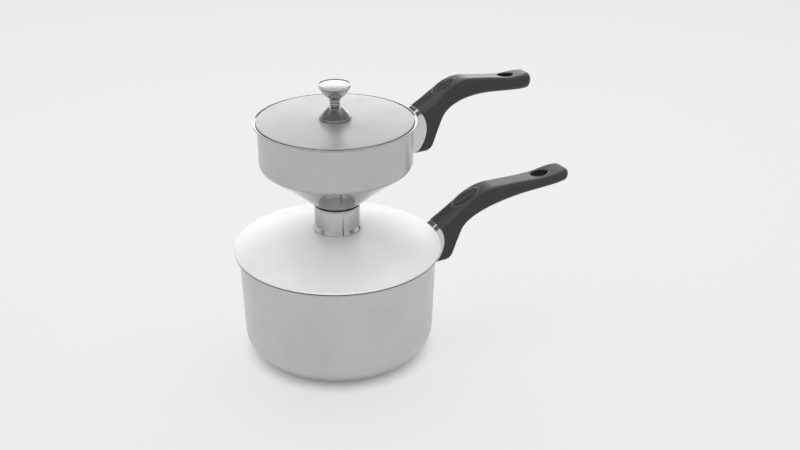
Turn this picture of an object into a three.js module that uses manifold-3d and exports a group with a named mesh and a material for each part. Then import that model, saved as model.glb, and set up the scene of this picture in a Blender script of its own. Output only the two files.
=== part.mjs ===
// A stacked couscous steamer: a long-handled pot, its steam lid with a chimney collar, a steamer pan whose
// conical bottom plugs into the collar, a lift-out grid, and a cover with a turned knob.
// Millimetres, +Z up, +X along both handles, origin at the centre of the pot's base.
import * as THREE from "three";
import { mergeVertices } from "three/addons/utils/BufferGeometryUtils.js";
import Module from "manifold-3d";

const wasm = await Module();
wasm.setup();

// Common sizes
const GAP = 0.3; // between pieces that touch
const WALL = 1; // sheet of the pot and the pan
const LID_SHEET = 0.8; // sheet of the lids, the spout and the knob
const LIFT_PLAY = 0.6; // radial play of what plugs in and lifts out
const WIDE_SIDES = 48; // facets round the pans and lids
const TUBE_SIDES = 32; // facets round the collar and the spout
const KNOB_SIDES = 24; // facets round the knob
const SCREW_SIDES = 16; // facets round screws and washers
const NUT_SIDES = 6;
const BITE = 1; // how far joined lengths and cutters run into each other

// Pot
const POT_RADIUS = 91.6; // outside, under the lip
const POT_TAPER = 2.1; // how much narrower the wall is at its foot
const POT_HEIGHT = 103.6; // to the top of the lip
const POT_CORNER = 25.5; // radius between base and wall
const POT_LIP = 4; // flare of the lip, out and up

// Steam lid and its collar
const STEAM_LID_OVERHANG = 0.75; // beyond the pot's lip
const STEAM_LID_HEM = 2.4; // thickness of the folded edge
const STEAM_LID_RISE = 17.9; // crown above the folded edge
const STEAM_LID_RING = 6; // depth of the locating ring in the pot
const COLLAR_RADIUS = 21.1; // outside of the tube
const COLLAR_WALL = 1;
const COLLAR_HEIGHT = 24.5; // from the foot to the rim
const COLLAR_FOOT = 1.4; // flare of the foot beyond the tube
const COLLAR_FOOT_HEIGHT = 4.3;
const COLLAR_FOOT_EDGE = 0.9; // upright edge of the foot
const COLLAR_RIM = 0.6; // bead of the rim beyond the tube
const COLLAR_RIM_HEIGHT = 2;
const COLLAR_SWAGE = 3; // lip turned out under the lid
const COLLAR_SWAGE_SHEET = 1;

// Steamer pan, its spout and its grid
const PAN_RADIUS = 69.5; // outside
const PAN_WALL_HEIGHT = 32.4; // straight part of the wall
const PAN_CORNER = 7.3; // radius between wall and cone
const PAN_SLOPE = THREE.MathUtils.degToRad(38.9); // cone above the horizontal
const PAN_LIP = 3.6; // flare of the rim, out and up
const SPOUT_LENGTH = 19; // below the seat on the collar's rim
const SPOUT_FLANGE = 5.5; // width of the flange on the cone
const GRID_INSET = 1; // from the end of the cone to the grid's edge
const GRID_SHEET = 1.2;
const GRID_HOLE = 2.2; // radius
const GRID_HOLE_SIDES = 6;
const GRID_PITCH = 12.5; // between rings of holes
const GRID_EDGE = 10; // least plain rim outside the holes
const GRID_FIRST_RING = 6; // holes in the first ring, and more in each ring after it

// Cover and knob
const COVER_OVERHANG = 0.9; // beyond the pan's wall, in the flare of its rim
const COVER_HEM = 1.4;
const COVER_RISE = 1.8;
const COVER_RING = 4; // depth of the locating ring in the pan
const KNOB_RADIUS = 14.6; // of the bell and of the cup
// Neck and shoulder are the radii where a pressing's flat ends and where its side bends.
const BELL = { height: 10.2, neck: 6.4, shoulder: 10.9, shoulder_rise: 3.8 };
const CUP = { height: 12.9, neck: 4.7, shoulder: 9.5, shoulder_rise: 2.2 };
const SPACER_RADIUS = 4; // at the neck and the groove
const SPACER_BEAD = 1; // how far the bead and the ring stand out
const SPACER_NECK_HEIGHT = 1.7;
const SPACER_BEAD_HEIGHT = 2.4;
const SPACER_GROOVE_HEIGHT = 1.1;
const SPACER_RING_HEIGHT = 1.8;
const CAP_DROP = 0.4; // cap's edge below the cup's rim
const CAP_CROWN = 0.3; // middle of the cap above its edge
const KNOB_SCREW = 2; // radius of the shank
const KNOB_SCREW_HEAD_RIM = 2; // head beyond the shank
const KNOB_SCREW_HEAD_HEIGHT = 1.6;
const KNOB_WASHER_RIM = 3.5; // washer beyond the shank
const KNOB_WASHER_SHEET = 0.8;
const KNOB_NUT_WALL = 0.95; // at its corners
const KNOB_NUT_HEIGHT = 2.4;
const KNOB_SCREW_END = 1; // beyond the nut

// Handle fittings, the same on both pans
const ROOT_TOP = -1.4; // top of the handle where the grip starts
const RAMP = THREE.MathUtils.degToRad(29.4); // rise of the grip's top from the root
const ROOT_WIDTH = 22;
const FERRULE_DEPTH = 18; // from the wall to the grip, at its deepest
const FERRULE_SHEET = 1.2;
const JOINT_ARC = 30; // side view radius of the joint between ferrule and grip
const JOINT_RISE = 2.2; // deepest point of the joint above the root's mid height
const BRACKET_SHEET = 2.5;
const BRACKET_SIDE_ROOM = 3.3; // between the bracket and the ferrule, at each side
const BRACKET_HEAD_ROOM = 3.2; // above the bracket, at the wall
const BRACKET_FOOT_ROOM = 8; // below the bracket
const SCREW_RADIUS = 2.5;
const SCREW_END = 2.6; // beyond the bracket
const SCREW_HEAD_RIM = 1.9; // head beyond the shank
const SCREW_HEAD_HEIGHT = 3;
const SCREW_SLOT = 1;
const SCREW_SLOT_DEPTH = 1.2;
const SCREW_SEAT = 6; // grip's wall between the ferrule and the washer
const SCREW_PLAY = 0.4;
const WASHER_RIM = 2.2; // washer beyond the shank
const WASHER_SHEET = 1;
const EDGE_ROUND = 4.5; // rounding of the grip's long edges
const FOOT_LEAN = THREE.MathUtils.degToRad(22.5); // foot's outer face from the upright
const FOOT_FACE = 28.5; // its straight length
const FOOT_ROUND = 5;
const UNDER_BOW = 1; // fall of the underside's bowed line from the straight, at the tip
const TIP_TOP_ROUND = 5; // side view, the tip's upper corner
const TIP_LOW_ROUND = 7; // its lower corner
const TIP_FLAT = 0.1; // share of the tip's height between them, at least
const PADDLE_ROUND = 6.5; // plan view
const PADDLE_END = 3; // least width of the paddle's very end
const THUMB_DEPTH = 3;

// The pot's handle is the longer one. Lengths run out from the wall, heights from the top of the root.
const POT_HANDLE = {
  above_lip: 2.6,
  reach: 164.8,
  rise: 28.2,
  run_slope: THREE.MathUtils.degToRad(-1),
  under_slope: THREE.MathUtils.degToRad(5.9),
  thickness: 14, // at the end of the knee
  foot_drop: 40.2,
  foot_depth: 24.8,
  knee_to_tip: 55.4, // end of the curve under the bend
  knee_foot_pull: 13.5, // how far that curve keeps to the foot's face
  knee_run_pull: 50, // and to the underside's line
  bend_ease: 15.5,
  waist_width: 20.2,
  waist_to_tip: 60,
  paddle_width: 24,
  paddle_to_tip: 20,
  paddle_lift: 4.4,
  lift_to_tip: 41.4,
  hole_length: 19.5,
  hole_width: 14,
  hole_to_tip: 30.5,
  thumb_length: 31,
  thumb_width: 17,
  thumb_to_bend: 14.3,
};
const STEAMER_HANDLE = {
  above_lip: 0,
  reach: 134.8,
  rise: 23.2,
  run_slope: THREE.MathUtils.degToRad(-7.5),
  under_slope: THREE.MathUtils.degToRad(-1.6),
  thickness: 15,
  foot_drop: 42.4,
  foot_depth: 22.3,
  knee_to_tip: 48.1,
  knee_foot_pull: 11,
  knee_run_pull: 38,
  bend_ease: 13,
  waist_width: 16,
  waist_to_tip: 51,
  paddle_width: 20.4,
  paddle_to_tip: 18,
  paddle_lift: 3.9,
  lift_to_tip: 31.3,
  hole_length: 16.5,
  hole_width: 11.5,
  hole_to_tip: 25.6,
  thumb_length: 24.5,
  thumb_width: 15,
  thumb_to_bend: 11.2,
};

const satin = new THREE.MeshStandardMaterial({ color: 0xb9bbbd, roughness: 0.38, metalness: 1 });
const mirror = new THREE.MeshStandardMaterial({ color: 0xc9cbcd, roughness: 0.08, metalness: 1 });
const phenolic = new THREE.MeshStandardMaterial({ color: 0x3a3a3b, roughness: 0.45, metalness: 0 });
const zinc = new THREE.MeshStandardMaterial({ color: 0x9a9c9e, roughness: 0.4, metalness: 1 });

// A closed geometry as a solid that can be joined and cut.
function solid(geometry) {
  const bare = geometry.clone();
  bare.deleteAttribute("normal");
  bare.deleteAttribute("uv");
  const merged = mergeVertices(bare, 1e-4);
  return new wasm.Manifold(
    new wasm.Mesh({
      numProp: 3,
      vertProperties: new Float32Array(merged.attributes.position.array),
      triVerts: new Uint32Array(merged.index.array),
    }),
  );
}

function geometry_of(made) {
  const { vertProperties, triVerts } = made.getMesh();
  const geometry = new THREE.BufferGeometry();
  geometry.setAttribute("position", new THREE.BufferAttribute(vertProperties, 3));
  geometry.setIndex(new THREE.BufferAttribute(triVerts, 1));
  return geometry;
}

function piece(name, geometry, material) {
  const mesh = new THREE.Mesh(geometry, material);
  mesh.name = name;
  return mesh;
}

// A solid of revolution about +Z. The outline lists radius and height, anticlockwise.
function turned(outline, sides) {
  const points = outline.map(([r, z]) => new THREE.Vector2(r, z));
  const closes_itself = points[0].x > 0;
  if (closes_itself) points.push(points[0].clone());
  return new THREE.LatheGeometry(points, sides).rotateX(Math.PI / 2);
}

// Points of an elliptical arc in the outline's plane.
function arc(r, z, radius_r, radius_z, from, to, steps) {
  return Array.from({ length: steps + 1 }, (_, i) => {
    const a = from + ((to - from) * i) / steps;
    return [r + radius_r * Math.cos(a), z + radius_z * Math.sin(a)];
  });
}

// The outline of bent sheet: the path of its outer face, then the same path offset to the left, back again.
function sheet(path, thickness) {
  const unit = (a, b) => {
    const length = Math.hypot(b[0] - a[0], b[1] - a[1]);
    return [(b[0] - a[0]) / length, (b[1] - a[1]) / length];
  };
  const inner = path.map((p, i) => {
    const before = i > 0 ? unit(path[i - 1], p) : unit(p, path[i + 1]);
    const after = i < path.length - 1 ? unit(p, path[i + 1]) : before;
    const reach = thickness / (1 + before[0] * after[0] + before[1] * after[1]);
    return [p[0] - reach * (before[1] + after[1]), p[1] + reach * (before[0] + after[0])];
  });
  return [...path, ...inner.reverse()];
}

// A flared lip: a quarter turn outwards from the top of a straight wall.
function lip(radius, start, flare) {
  return arc(radius + flare, start, -flare, flare, 0, Math.PI / 2, 4);
}

// A domed lid: a hole, a dome, a folded edge and a locating ring turned down from it.
function lid({ radius, hem, seat, rise, ring, ring_depth, hole, dome_steps }) {
  const edge = radius - hem / 2;
  const crown = seat + hem + rise;
  const top = (r) => crown - rise * (r / edge) ** 2;
  const dome = (from, to, drop) =>
    Array.from({ length: dome_steps + 1 }, (_, i) => {
      const r = from + ((to - from) * i) / dome_steps;
      return [r, top(r) - drop];
    });
  const outline = [
    ...dome(hole, ring - LID_SHEET, LID_SHEET),
    [ring - LID_SHEET, seat - ring_depth],
    [ring, seat - ring_depth],
    [ring, seat],
    ...arc(edge, seat + hem / 2, hem / 2, hem / 2, -Math.PI / 2, Math.PI / 2, 4).slice(0, -1),
    ...dome(edge, hole, 0),
  ];
  return { top, outline };
}

// Pot
const pot_lip_start = POT_HEIGHT - WALL - POT_LIP;
const pot_foot_radius = POT_RADIUS - POT_TAPER;
const pot_path = [
  [0, 0],
  ...arc(pot_foot_radius - POT_CORNER, POT_CORNER, POT_CORNER, POT_CORNER, -Math.PI / 2, 0, 7),
  ...lip(POT_RADIUS, pot_lip_start, POT_LIP),
];
const pot_shell = piece("pot_shell", turned(sheet(pot_path, WALL), WIDE_SIDES), satin);

// Steam lid, seated on the pot's lip
const steam_lid_seat = POT_HEIGHT + GAP;
const steam_lid_radius = POT_RADIUS + POT_LIP + STEAM_LID_OVERHANG;
const steam_lid = lid({
  radius: steam_lid_radius,
  hem: STEAM_LID_HEM,
  seat: steam_lid_seat,
  rise: STEAM_LID_RISE,
  ring: POT_RADIUS - WALL - LIFT_PLAY,
  ring_depth: STEAM_LID_RING,
  hole: COLLAR_RADIUS + GAP,
  dome_steps: 6,
});
const steam_lid_dome = piece("steam_lid_dome", turned(steam_lid.outline, WIDE_SIDES), satin);

// Chimney collar: foot on the dome, lip swaged out under it
const collar_bore = COLLAR_RADIUS - COLLAR_WALL;
const collar_foot = steam_lid.top(COLLAR_RADIUS) + GAP;
const collar_top = collar_foot + COLLAR_HEIGHT;
const swage_radius = COLLAR_RADIUS + COLLAR_SWAGE;
const swage_top = steam_lid.top(swage_radius) - LID_SHEET - GAP;
const collar_outline = [
  [collar_bore, swage_top - COLLAR_SWAGE_SHEET],
  [swage_radius, swage_top - COLLAR_SWAGE_SHEET],
  [swage_radius, swage_top],
  [COLLAR_RADIUS, swage_top],
  [COLLAR_RADIUS, collar_foot],
  [COLLAR_RADIUS + COLLAR_FOOT, collar_foot],
  [COLLAR_RADIUS + COLLAR_FOOT, collar_foot + COLLAR_FOOT_EDGE],
  [COLLAR_RADIUS, collar_foot + COLLAR_FOOT_HEIGHT],
  [COLLAR_RADIUS, collar_top - COLLAR_RIM_HEIGHT],
  [COLLAR_RADIUS + COLLAR_RIM, collar_top - COLLAR_RIM_HEIGHT / 2],
  [COLLAR_RADIUS + COLLAR_RIM / 2, collar_top],
  [collar_bore, collar_top],
];
const chimney_collar = piece("chimney_collar", turned(collar_outline, TUBE_SIDES), mirror);

// Steamer pan: the edge of the cone's mouth rests on the collar's rim
const spout_radius = collar_bore - LIFT_PLAY;
const mouth = spout_radius + GAP + WALL * Math.sin(PAN_SLOPE);
const cone_rise = Math.tan(PAN_SLOPE);
const cone_slant = 1 / Math.cos(PAN_SLOPE);
const pan_seat = collar_top + GAP * cone_slant;
const cone = (r) => pan_seat + (r - mouth) * cone_rise;
const cone_inside = (r) => cone(r) + WALL * cone_slant;
const pan_corner_radius = PAN_RADIUS - PAN_CORNER;
const cone_end = pan_corner_radius + PAN_CORNER * Math.sin(PAN_SLOPE);
const pan_wall_foot = cone(cone_end) + PAN_CORNER * Math.cos(PAN_SLOPE);
const pan_lip_start = pan_wall_foot + PAN_WALL_HEIGHT;
const pan_height = pan_lip_start + PAN_LIP + WALL;
const pan_path = [
  [mouth, cone(mouth)],
  ...arc(pan_corner_radius, pan_wall_foot, PAN_CORNER, PAN_CORNER, PAN_SLOPE - Math.PI / 2, 0, 4),
  ...lip(PAN_RADIUS, pan_lip_start, PAN_LIP),
];
const steamer_shell = piece("steamer_shell", turned(sheet(pan_path, WALL), WIDE_SIDES), satin);

// Spout: a tube through the cone's mouth, hung by a flange on the cone
const spout_bore = spout_radius - LID_SHEET;
const flange_edge = spout_radius + SPOUT_FLANGE;
const flange_under = (r) => cone_inside(r) + GAP * cone_slant;
const flange_over = (r) => flange_under(r) + LID_SHEET * cone_slant;
const spout_outline = [
  [spout_bore, pan_seat - SPOUT_LENGTH],
  [spout_radius, pan_seat - SPOUT_LENGTH],
  [spout_radius, flange_under(spout_radius)],
  [flange_edge, flange_under(flange_edge)],
  [flange_edge, flange_over(flange_edge)],
  [spout_bore, flange_over(spout_bore)],
];
const steamer_spout = piece("steamer_spout", turned(spout_outline, TUBE_SIDES), mirror);

// Grid: a plate with rings of holes, resting on the cone just inside the corner
const grid_radius = cone_end - WALL * Math.sin(PAN_SLOPE) - GRID_INSET;
const grid_seat = cone_inside(grid_radius) + GAP * cone_slant;
const grid_rings = Math.floor((grid_radius - GRID_EDGE - GRID_HOLE) / GRID_PITCH);

function grid_plate() {
  const outline = [
    [0, grid_seat],
    [grid_radius, grid_seat],
    [grid_radius, grid_seat + GRID_SHEET],
    [0, grid_seat + GRID_SHEET],
  ];
  let plate = solid(turned(outline, WIDE_SIDES));
  const drill = new THREE.CylinderGeometry(GRID_HOLE, GRID_HOLE, 3 * GRID_SHEET, GRID_HOLE_SIDES);
  drill.rotateX(Math.PI / 2);
  const hole = solid(drill);
  for (let ring = 1; ring <= grid_rings; ring++) {
    const holes = GRID_FIRST_RING * ring;
    for (let i = 0; i < holes; i++) {
      const a = (2 * Math.PI * i) / holes;
      const reach = ring * GRID_PITCH;
      plate = plate.subtract(hole.translate(reach * Math.cos(a), reach * Math.sin(a), grid_seat));
    }
  }
  return geometry_of(plate);
}
const steam_grid = piece("steam_grid", grid_plate(), satin);

// Cover: its folded edge rests in the flare of the pan's rim
const rim_arc = PAN_LIP + WALL;
const hem_touch = (COVER_HEM / 2) * (1 - Math.SQRT1_2);
const rim_turn = Math.acos((PAN_LIP - COVER_OVERHANG + hem_touch) / rim_arc);
const cover_seat = pan_lip_start + rim_arc * Math.sin(rim_turn) + GAP - hem_touch;
const cover = lid({
  radius: PAN_RADIUS + COVER_OVERHANG,
  hem: COVER_HEM,
  seat: cover_seat,
  rise: COVER_RISE,
  ring: PAN_RADIUS - WALL - LIFT_PLAY,
  ring_depth: COVER_RING,
  hole: KNOB_SCREW + GAP,
  dome_steps: 3,
});
const cover_dome = piece("cover_dome", turned(cover.outline, WIDE_SIDES), satin);

// Knob: a pressed bell and a pressed cup either side of a turned spacer
const knob_foot = cover.top(0) + GAP;
const bell_top = knob_foot + BELL.height;
const spacer_foot = bell_top + GAP;
const spacer_heights = [SPACER_NECK_HEIGHT, SPACER_BEAD_HEIGHT, SPACER_GROOVE_HEIGHT, SPACER_RING_HEIGHT];
const spacer_top = spacer_heights.reduce((sum, height) => sum + height, spacer_foot);
const cup_foot = spacer_top + GAP;
const screw_hole = KNOB_SCREW + GAP;
const knob_edge = CAP_DROP + LID_SHEET + GAP;

// A pressing's outer face from its screw hole to its upright edge: radius, then depth from the small end.
function pressing({ height, neck, shoulder, shoulder_rise }) {
  const side = new THREE.QuadraticBezierCurve(
    new THREE.Vector2(neck, 0),
    new THREE.Vector2(shoulder, shoulder_rise),
    new THREE.Vector2(KNOB_RADIUS, height - knob_edge),
  );
  return [[screw_hole, 0], ...side.getPoints(5).map((p) => [p.x, p.y]), [KNOB_RADIUS, height]];
}
const cup_outline = sheet(pressing(CUP), LID_SHEET).map(([r, z]) => [r, cup_foot + z]);
const bell_path = pressing(BELL).map(([r, z]) => [r, bell_top - z]);
const bell_outline = sheet(bell_path.reverse(), LID_SHEET);
const knob_cup = piece("knob_cup", turned(cup_outline, KNOB_SIDES), mirror);
const knob_base = piece("knob_base", turned(bell_outline, KNOB_SIDES), mirror);

const bead_foot = spacer_foot + SPACER_NECK_HEIGHT;
const groove_foot = bead_foot + SPACER_BEAD_HEIGHT;
const ring_foot = groove_foot + SPACER_GROOVE_HEIGHT;
const ring_radius = SPACER_RADIUS + SPACER_BEAD;
const bead_half = SPACER_BEAD_HEIGHT / 2;
const spacer_outline = [
  [screw_hole, spacer_foot],
  [SPACER_RADIUS, spacer_foot],
  ...arc(SPACER_RADIUS, bead_foot + bead_half, SPACER_BEAD, bead_half, -Math.PI / 2, Math.PI / 2, 4),
  [SPACER_RADIUS, ring_foot],
  [ring_radius, ring_foot],
  [ring_radius, spacer_top],
  [screw_hole, spacer_top],
];
const knob_spacer = piece("knob_spacer", turned(spacer_outline, KNOB_SIDES), mirror);

const cup_rim = cup_foot + CUP.height;
const cap_radius = KNOB_RADIUS - LID_SHEET - GAP;
const cap_edge = cup_rim - CAP_DROP;
const cap_outline = [
  [0, cap_edge - LID_SHEET],
  [cap_radius, cap_edge - LID_SHEET],
  [cap_radius, cap_edge],
  [cap_radius / 2, cap_edge + 0.75 * CAP_CROWN],
  [0, cap_edge + CAP_CROWN],
];
const knob_cap = piece("knob_cap", turned(cap_outline, KNOB_SIDES), mirror);

const cover_under = cover.top(0) - LID_SHEET;
const washer_top = cover_under - GAP;
const head_top = washer_top - KNOB_WASHER_SHEET - GAP;
const nut_foot = cup_foot + LID_SHEET + GAP;
const screw_tip = nut_foot + KNOB_NUT_HEIGHT + KNOB_SCREW_END;
const nut_hole = screw_hole / Math.cos(Math.PI / NUT_SIDES);
const knob_washer_radius = KNOB_SCREW + KNOB_WASHER_RIM;
const knob_head_radius = KNOB_SCREW + KNOB_SCREW_HEAD_RIM;
const knob_nut_radius = nut_hole + KNOB_NUT_WALL;
const knob_washer_outline = [
  [screw_hole, washer_top - KNOB_WASHER_SHEET],
  [knob_washer_radius, washer_top - KNOB_WASHER_SHEET],
  [knob_washer_radius, washer_top],
  [screw_hole, washer_top],
];
const knob_screw_outline = [
  [0, head_top - KNOB_SCREW_HEAD_HEIGHT],
  [knob_head_radius - KNOB_SCREW_HEAD_HEIGHT / 2, head_top - KNOB_SCREW_HEAD_HEIGHT],
  [knob_head_radius, head_top],
  [KNOB_SCREW, head_top],
  [KNOB_SCREW, screw_tip],
  [0, screw_tip],
];
const knob_nut_outline = [
  [nut_hole, nut_foot],
  [knob_nut_radius, nut_foot],
  [knob_nut_radius, nut_foot + KNOB_NUT_HEIGHT],
  [nut_hole, nut_foot + KNOB_NUT_HEIGHT],
];
const knob_washer = piece("knob_washer", turned(knob_washer_outline, SCREW_SIDES), zinc);
const knob_screw = piece("knob_screw", turned(knob_screw_outline, SCREW_SIDES), zinc);
const knob_nut = piece("knob_nut", turned(knob_nut_outline, NUT_SIDES), zinc);

// Side views of the handles: x runs out from the wall, and the heel lies just inside the wall's curve.
const heel = -ROOT_WIDTH / 4;
const ramp_foot = FERRULE_DEPTH / 2;
const ramp = (x) => new THREE.Vector2(x, ROOT_TOP + (x - ramp_foot) * Math.tan(RAMP));
const ferrule_roof = (x) => ramp(x).setY(ramp(x).y - FERRULE_SHEET / Math.cos(RAMP));
const ferrule_floor = (h) => FERRULE_SHEET - h.foot_drop;
const joint_middle = (h) => (ROOT_TOP - h.foot_drop) / 2 + JOINT_RISE;
const bend_of = (h) => new THREE.Vector2(ramp_foot + (h.rise - ROOT_TOP) / Math.tan(RAMP), h.rise);
const knee_end = (h) => h.reach - h.knee_to_tip;
const run_line = (h, x) => h.rise + (x - bend_of(h).x) * Math.tan(h.run_slope);

// The level part's top, which lifts towards the tip, and its underside, a bowed line of its own slope.
function run(h, x) {
  const lift = h.paddle_lift * THREE.MathUtils.smoothstep(x, h.reach - h.lift_to_tip, h.reach);
  return new THREE.Vector2(x, run_line(h, x) + lift);
}

function under(h, x) {
  const past = x - knee_end(h);
  const bow = UNDER_BOW * (Math.max(0, past) / h.knee_to_tip) ** 2;
  const rise = past * Math.tan(h.under_slope) - bow;
  return new THREE.Vector2(x, run_line(h, knee_end(h)) - h.thickness + rise);
}

const tip_height = (h) => run(h, h.reach).y - under(h, h.reach).y;
const tip_share = (h) => Math.min(1, ((1 - TIP_FLAT) * tip_height(h)) / (TIP_TOP_ROUND + TIP_LOW_ROUND));
const edge_round = (h) => Math.min(EDGE_ROUND, FOOT_ROUND, TIP_TOP_ROUND * tip_share(h));

function spaced(from, to, count) {
  return Array.from({ length: count }, (_, i) => from + ((to - from) * i) / count);
}

// The side view of a handle as one closed outline: heel, foot, knee, underside, tip, then back along the top.
function side_view(h) {
  const bend = bend_of(h);
  const foot = new THREE.Vector2(h.foot_depth, -h.foot_drop);
  const lean = new THREE.Vector2(Math.sin(FOOT_LEAN), Math.cos(FOOT_LEAN));
  const face_foot = foot.clone().addScaledVector(lean, FOOT_ROUND);
  const face_top = foot.clone().addScaledVector(lean, FOOT_FACE);
  const foot_start = foot.clone().setX(foot.x - FOOT_ROUND);
  const foot_round = new THREE.QuadraticBezierCurve(foot_start, foot, face_foot);
  const knee = new THREE.CubicBezierCurve(
    face_top,
    face_top.clone().addScaledVector(lean, h.knee_foot_pull),
    under(h, knee_end(h) - h.knee_run_pull),
    under(h, knee_end(h)),
  );
  const crown_out = run(h, bend.x + h.bend_ease);
  const crown = new THREE.QuadraticBezierCurve(crown_out, bend, ramp(bend.x - h.bend_ease));
  const low_round = TIP_LOW_ROUND * tip_share(h);
  const top_round = TIP_TOP_ROUND * tip_share(h);
  const low_tip = under(h, h.reach - low_round);
  const top_tip = run(h, h.reach - top_round);
  const tip_arc = ({ x, y }, round, sign, from, to) =>
    arc(x, y - sign * round, round, sign * round, from, to, 4).map(([r, z]) => new THREE.Vector2(r, z));
  const low = [
    new THREE.Vector2(heel, -h.foot_drop),
    ...foot_round.getPoints(3),
    ...knee.getPoints(10),
    ...spaced(knee_end(h), low_tip.x, 5).slice(1).map((x) => under(h, x)),
    ...tip_arc(low_tip, low_round, -1, Math.PI / 2, 0),
  ];
  const high = [
    ...tip_arc(top_tip, top_round, 1, 0, Math.PI / 2),
    ...spaced(top_tip.x, crown_out.x, 6).slice(1).map((x) => run(h, x)),
    ...crown.getPoints(6),
    ...spaced(bend.x - h.bend_ease, heel, 3).slice(1).map(ramp),
    ramp(heel),
  ];
  return { low, high };
}

// The height of a handle's top line at a distance from the wall.
function top_height(h, x) {
  const { high } = side_view(h);
  const i = high.findIndex((p) => p.x <= x);
  const [near, far] = [high[i], high[i - 1]];
  return THREE.MathUtils.mapLinear(x, near.x, far.x, near.y, far.y);
}

// The plan width of a handle: root, waist, paddle and rounded end.
function plan_width(h, x) {
  const waist_at = h.reach - h.waist_to_tip;
  const waist = THREE.MathUtils.smoothstep(x, h.foot_depth, waist_at);
  const paddle = THREE.MathUtils.smoothstep(x, waist_at, h.reach - h.paddle_to_tip);
  const width = ROOT_WIDTH + (h.waist_width - ROOT_WIDTH) * waist + (h.paddle_width - h.waist_width) * paddle;
  const round = Math.min(PADDLE_ROUND, (h.paddle_width - PADDLE_END) / 2);
  const past = THREE.MathUtils.clamp(x - (h.reach - round), 0, round);
  return width - 2 * (round - Math.sqrt(round ** 2 - past ** 2));
}

// A side view carried across the handle, with rounded long edges, centred on the XZ plane.
function across(outline, width, round) {
  const depth = width - 2 * round;
  const geometry = new THREE.ExtrudeGeometry(new THREE.Shape(outline), {
    depth,
    bevelThickness: round,
    bevelSize: round,
    bevelOffset: -round,
    bevelSegments: 2,
  });
  return geometry.translate(0, 0, -depth / 2).rotateX(Math.PI / 2);
}

// The whole body of a handle: its side view at the root's width, then narrowed and widened to its plan.
function handle_body(h) {
  const { low, high } = side_view(h);
  const geometry = across([...low, ...high], ROOT_WIDTH, edge_round(h));
  const position = geometry.attributes.position;
  for (let i = 0; i < position.count; i++) {
    position.setY(i, (position.getY(i) * plan_width(h, position.getX(i))) / ROOT_WIDTH);
  }
  return solid(geometry);
}

// The hollow of the ferrule: the root of the handle less the sheet all round.
function root_hollow(h) {
  const outline = [
    new THREE.Vector2(heel, ferrule_floor(h)),
    new THREE.Vector2(h.foot_depth, ferrule_floor(h)),
    ferrule_roof(h.foot_depth),
    ferrule_roof(heel),
  ];
  return solid(across(outline, ROOT_WIDTH - 2 * FERRULE_SHEET, edge_round(h) - FERRULE_SHEET));
}

// A round solid across the handle, whose edge is the joint between ferrule and grip in the side view.
function joint_roller(h, radius) {
  const roller = new THREE.CylinderGeometry(radius, radius, 3 * ROOT_WIDTH, WIDE_SIDES);
  return solid(roller.translate(FERRULE_DEPTH - JOINT_ARC, 0, joint_middle(h)));
}

// A round solid along +X, from one distance to another, at a height.
function rod(from, to, radius, height) {
  const cylinder = new THREE.CylinderGeometry(radius, radius, to - from, SCREW_SIDES);
  return solid(cylinder.rotateZ(Math.PI / 2).translate((from + to) / 2, 0, height));
}

function box(low, high) {
  const size = low.map((v, i) => high[i] - v);
  const centre = low.map((v, i) => (high[i] + v) / 2);
  return solid(new THREE.BoxGeometry(...size).translate(...centre));
}

// The hanging hole's cutter: an upright oval through the paddle.
function hanging_hole(h) {
  const at = h.reach - h.hole_to_tip;
  const oval = new THREE.Shape();
  oval.absellipse(at, 0, h.hole_length / 2, h.hole_width / 2, 0, 2 * Math.PI);
  const depth = 3 * h.thickness;
  const cutter = new THREE.ExtrudeGeometry(oval, { depth, bevelEnabled: false, curveSegments: 10 });
  return solid(cutter.translate(0, 0, top_height(h, at) - depth / 2));
}

// The thumb recess's cutter: a flat ellipsoid in line with the ramp's top.
function thumb_recess(h) {
  const at = bend_of(h).x - h.thumb_to_bend;
  const half = (h.thumb_length / 2) * Math.cos(RAMP);
  const [near, far] = [at - half, at + half].map((x) => new THREE.Vector2(x, top_height(h, x)));
  const turn = far.clone().sub(near).angle();
  const cutter = new THREE.SphereGeometry(1, 20, 10);
  cutter.scale(h.thumb_length / 2, h.thumb_width / 2, THUMB_DEPTH);
  return solid(cutter.rotateY(-turn).translate(at, 0, (near.y + far.y) / 2));
}

// The space of a pan and its lid, which a handle keeps out of, seen from the handle's own place.
function pan_space(h, wall_radius, lip_flare, clear_radius) {
  const lip_edge = -h.above_lip;
  const outline = [
    [0, -2 * h.foot_drop],
    [wall_radius + GAP, -2 * h.foot_drop],
    [wall_radius + GAP, lip_edge - lip_flare - GAP],
    [clear_radius, lip_edge - GAP],
    [clear_radius, 2 * h.rise],
    [0, 2 * h.rise],
  ];
  return solid(turned(outline, 2 * WIDE_SIDES)).translate(-wall_radius, 0, 0);
}

// The bracket in the ferrule is a channel open to the wall. The screw's axis is at its mid height.
function bracket_place(h) {
  const low = ferrule_floor(h) + BRACKET_FOOT_ROOM;
  const high = ferrule_roof(0).y - BRACKET_HEAD_ROOM;
  const joint = (z) => FERRULE_DEPTH - JOINT_ARC + Math.sqrt(JOINT_ARC ** 2 - (z - joint_middle(h)) ** 2);
  return { low, high, depth: Math.min(joint(low), joint(high)) - GAP, axis: (low + high) / 2 };
}

function bracket_channel({ low, high, depth }) {
  const side = ROOT_WIDTH / 2 - FERRULE_SHEET - BRACKET_SIDE_ROOM;
  return box([depth - BRACKET_SHEET, -side, low], [depth, side, high])
    .add(box([heel, side - BRACKET_SHEET, low], [depth, side, high]))
    .add(box([heel, -side, low], [depth, BRACKET_SHEET - side, high]));
}

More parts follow.
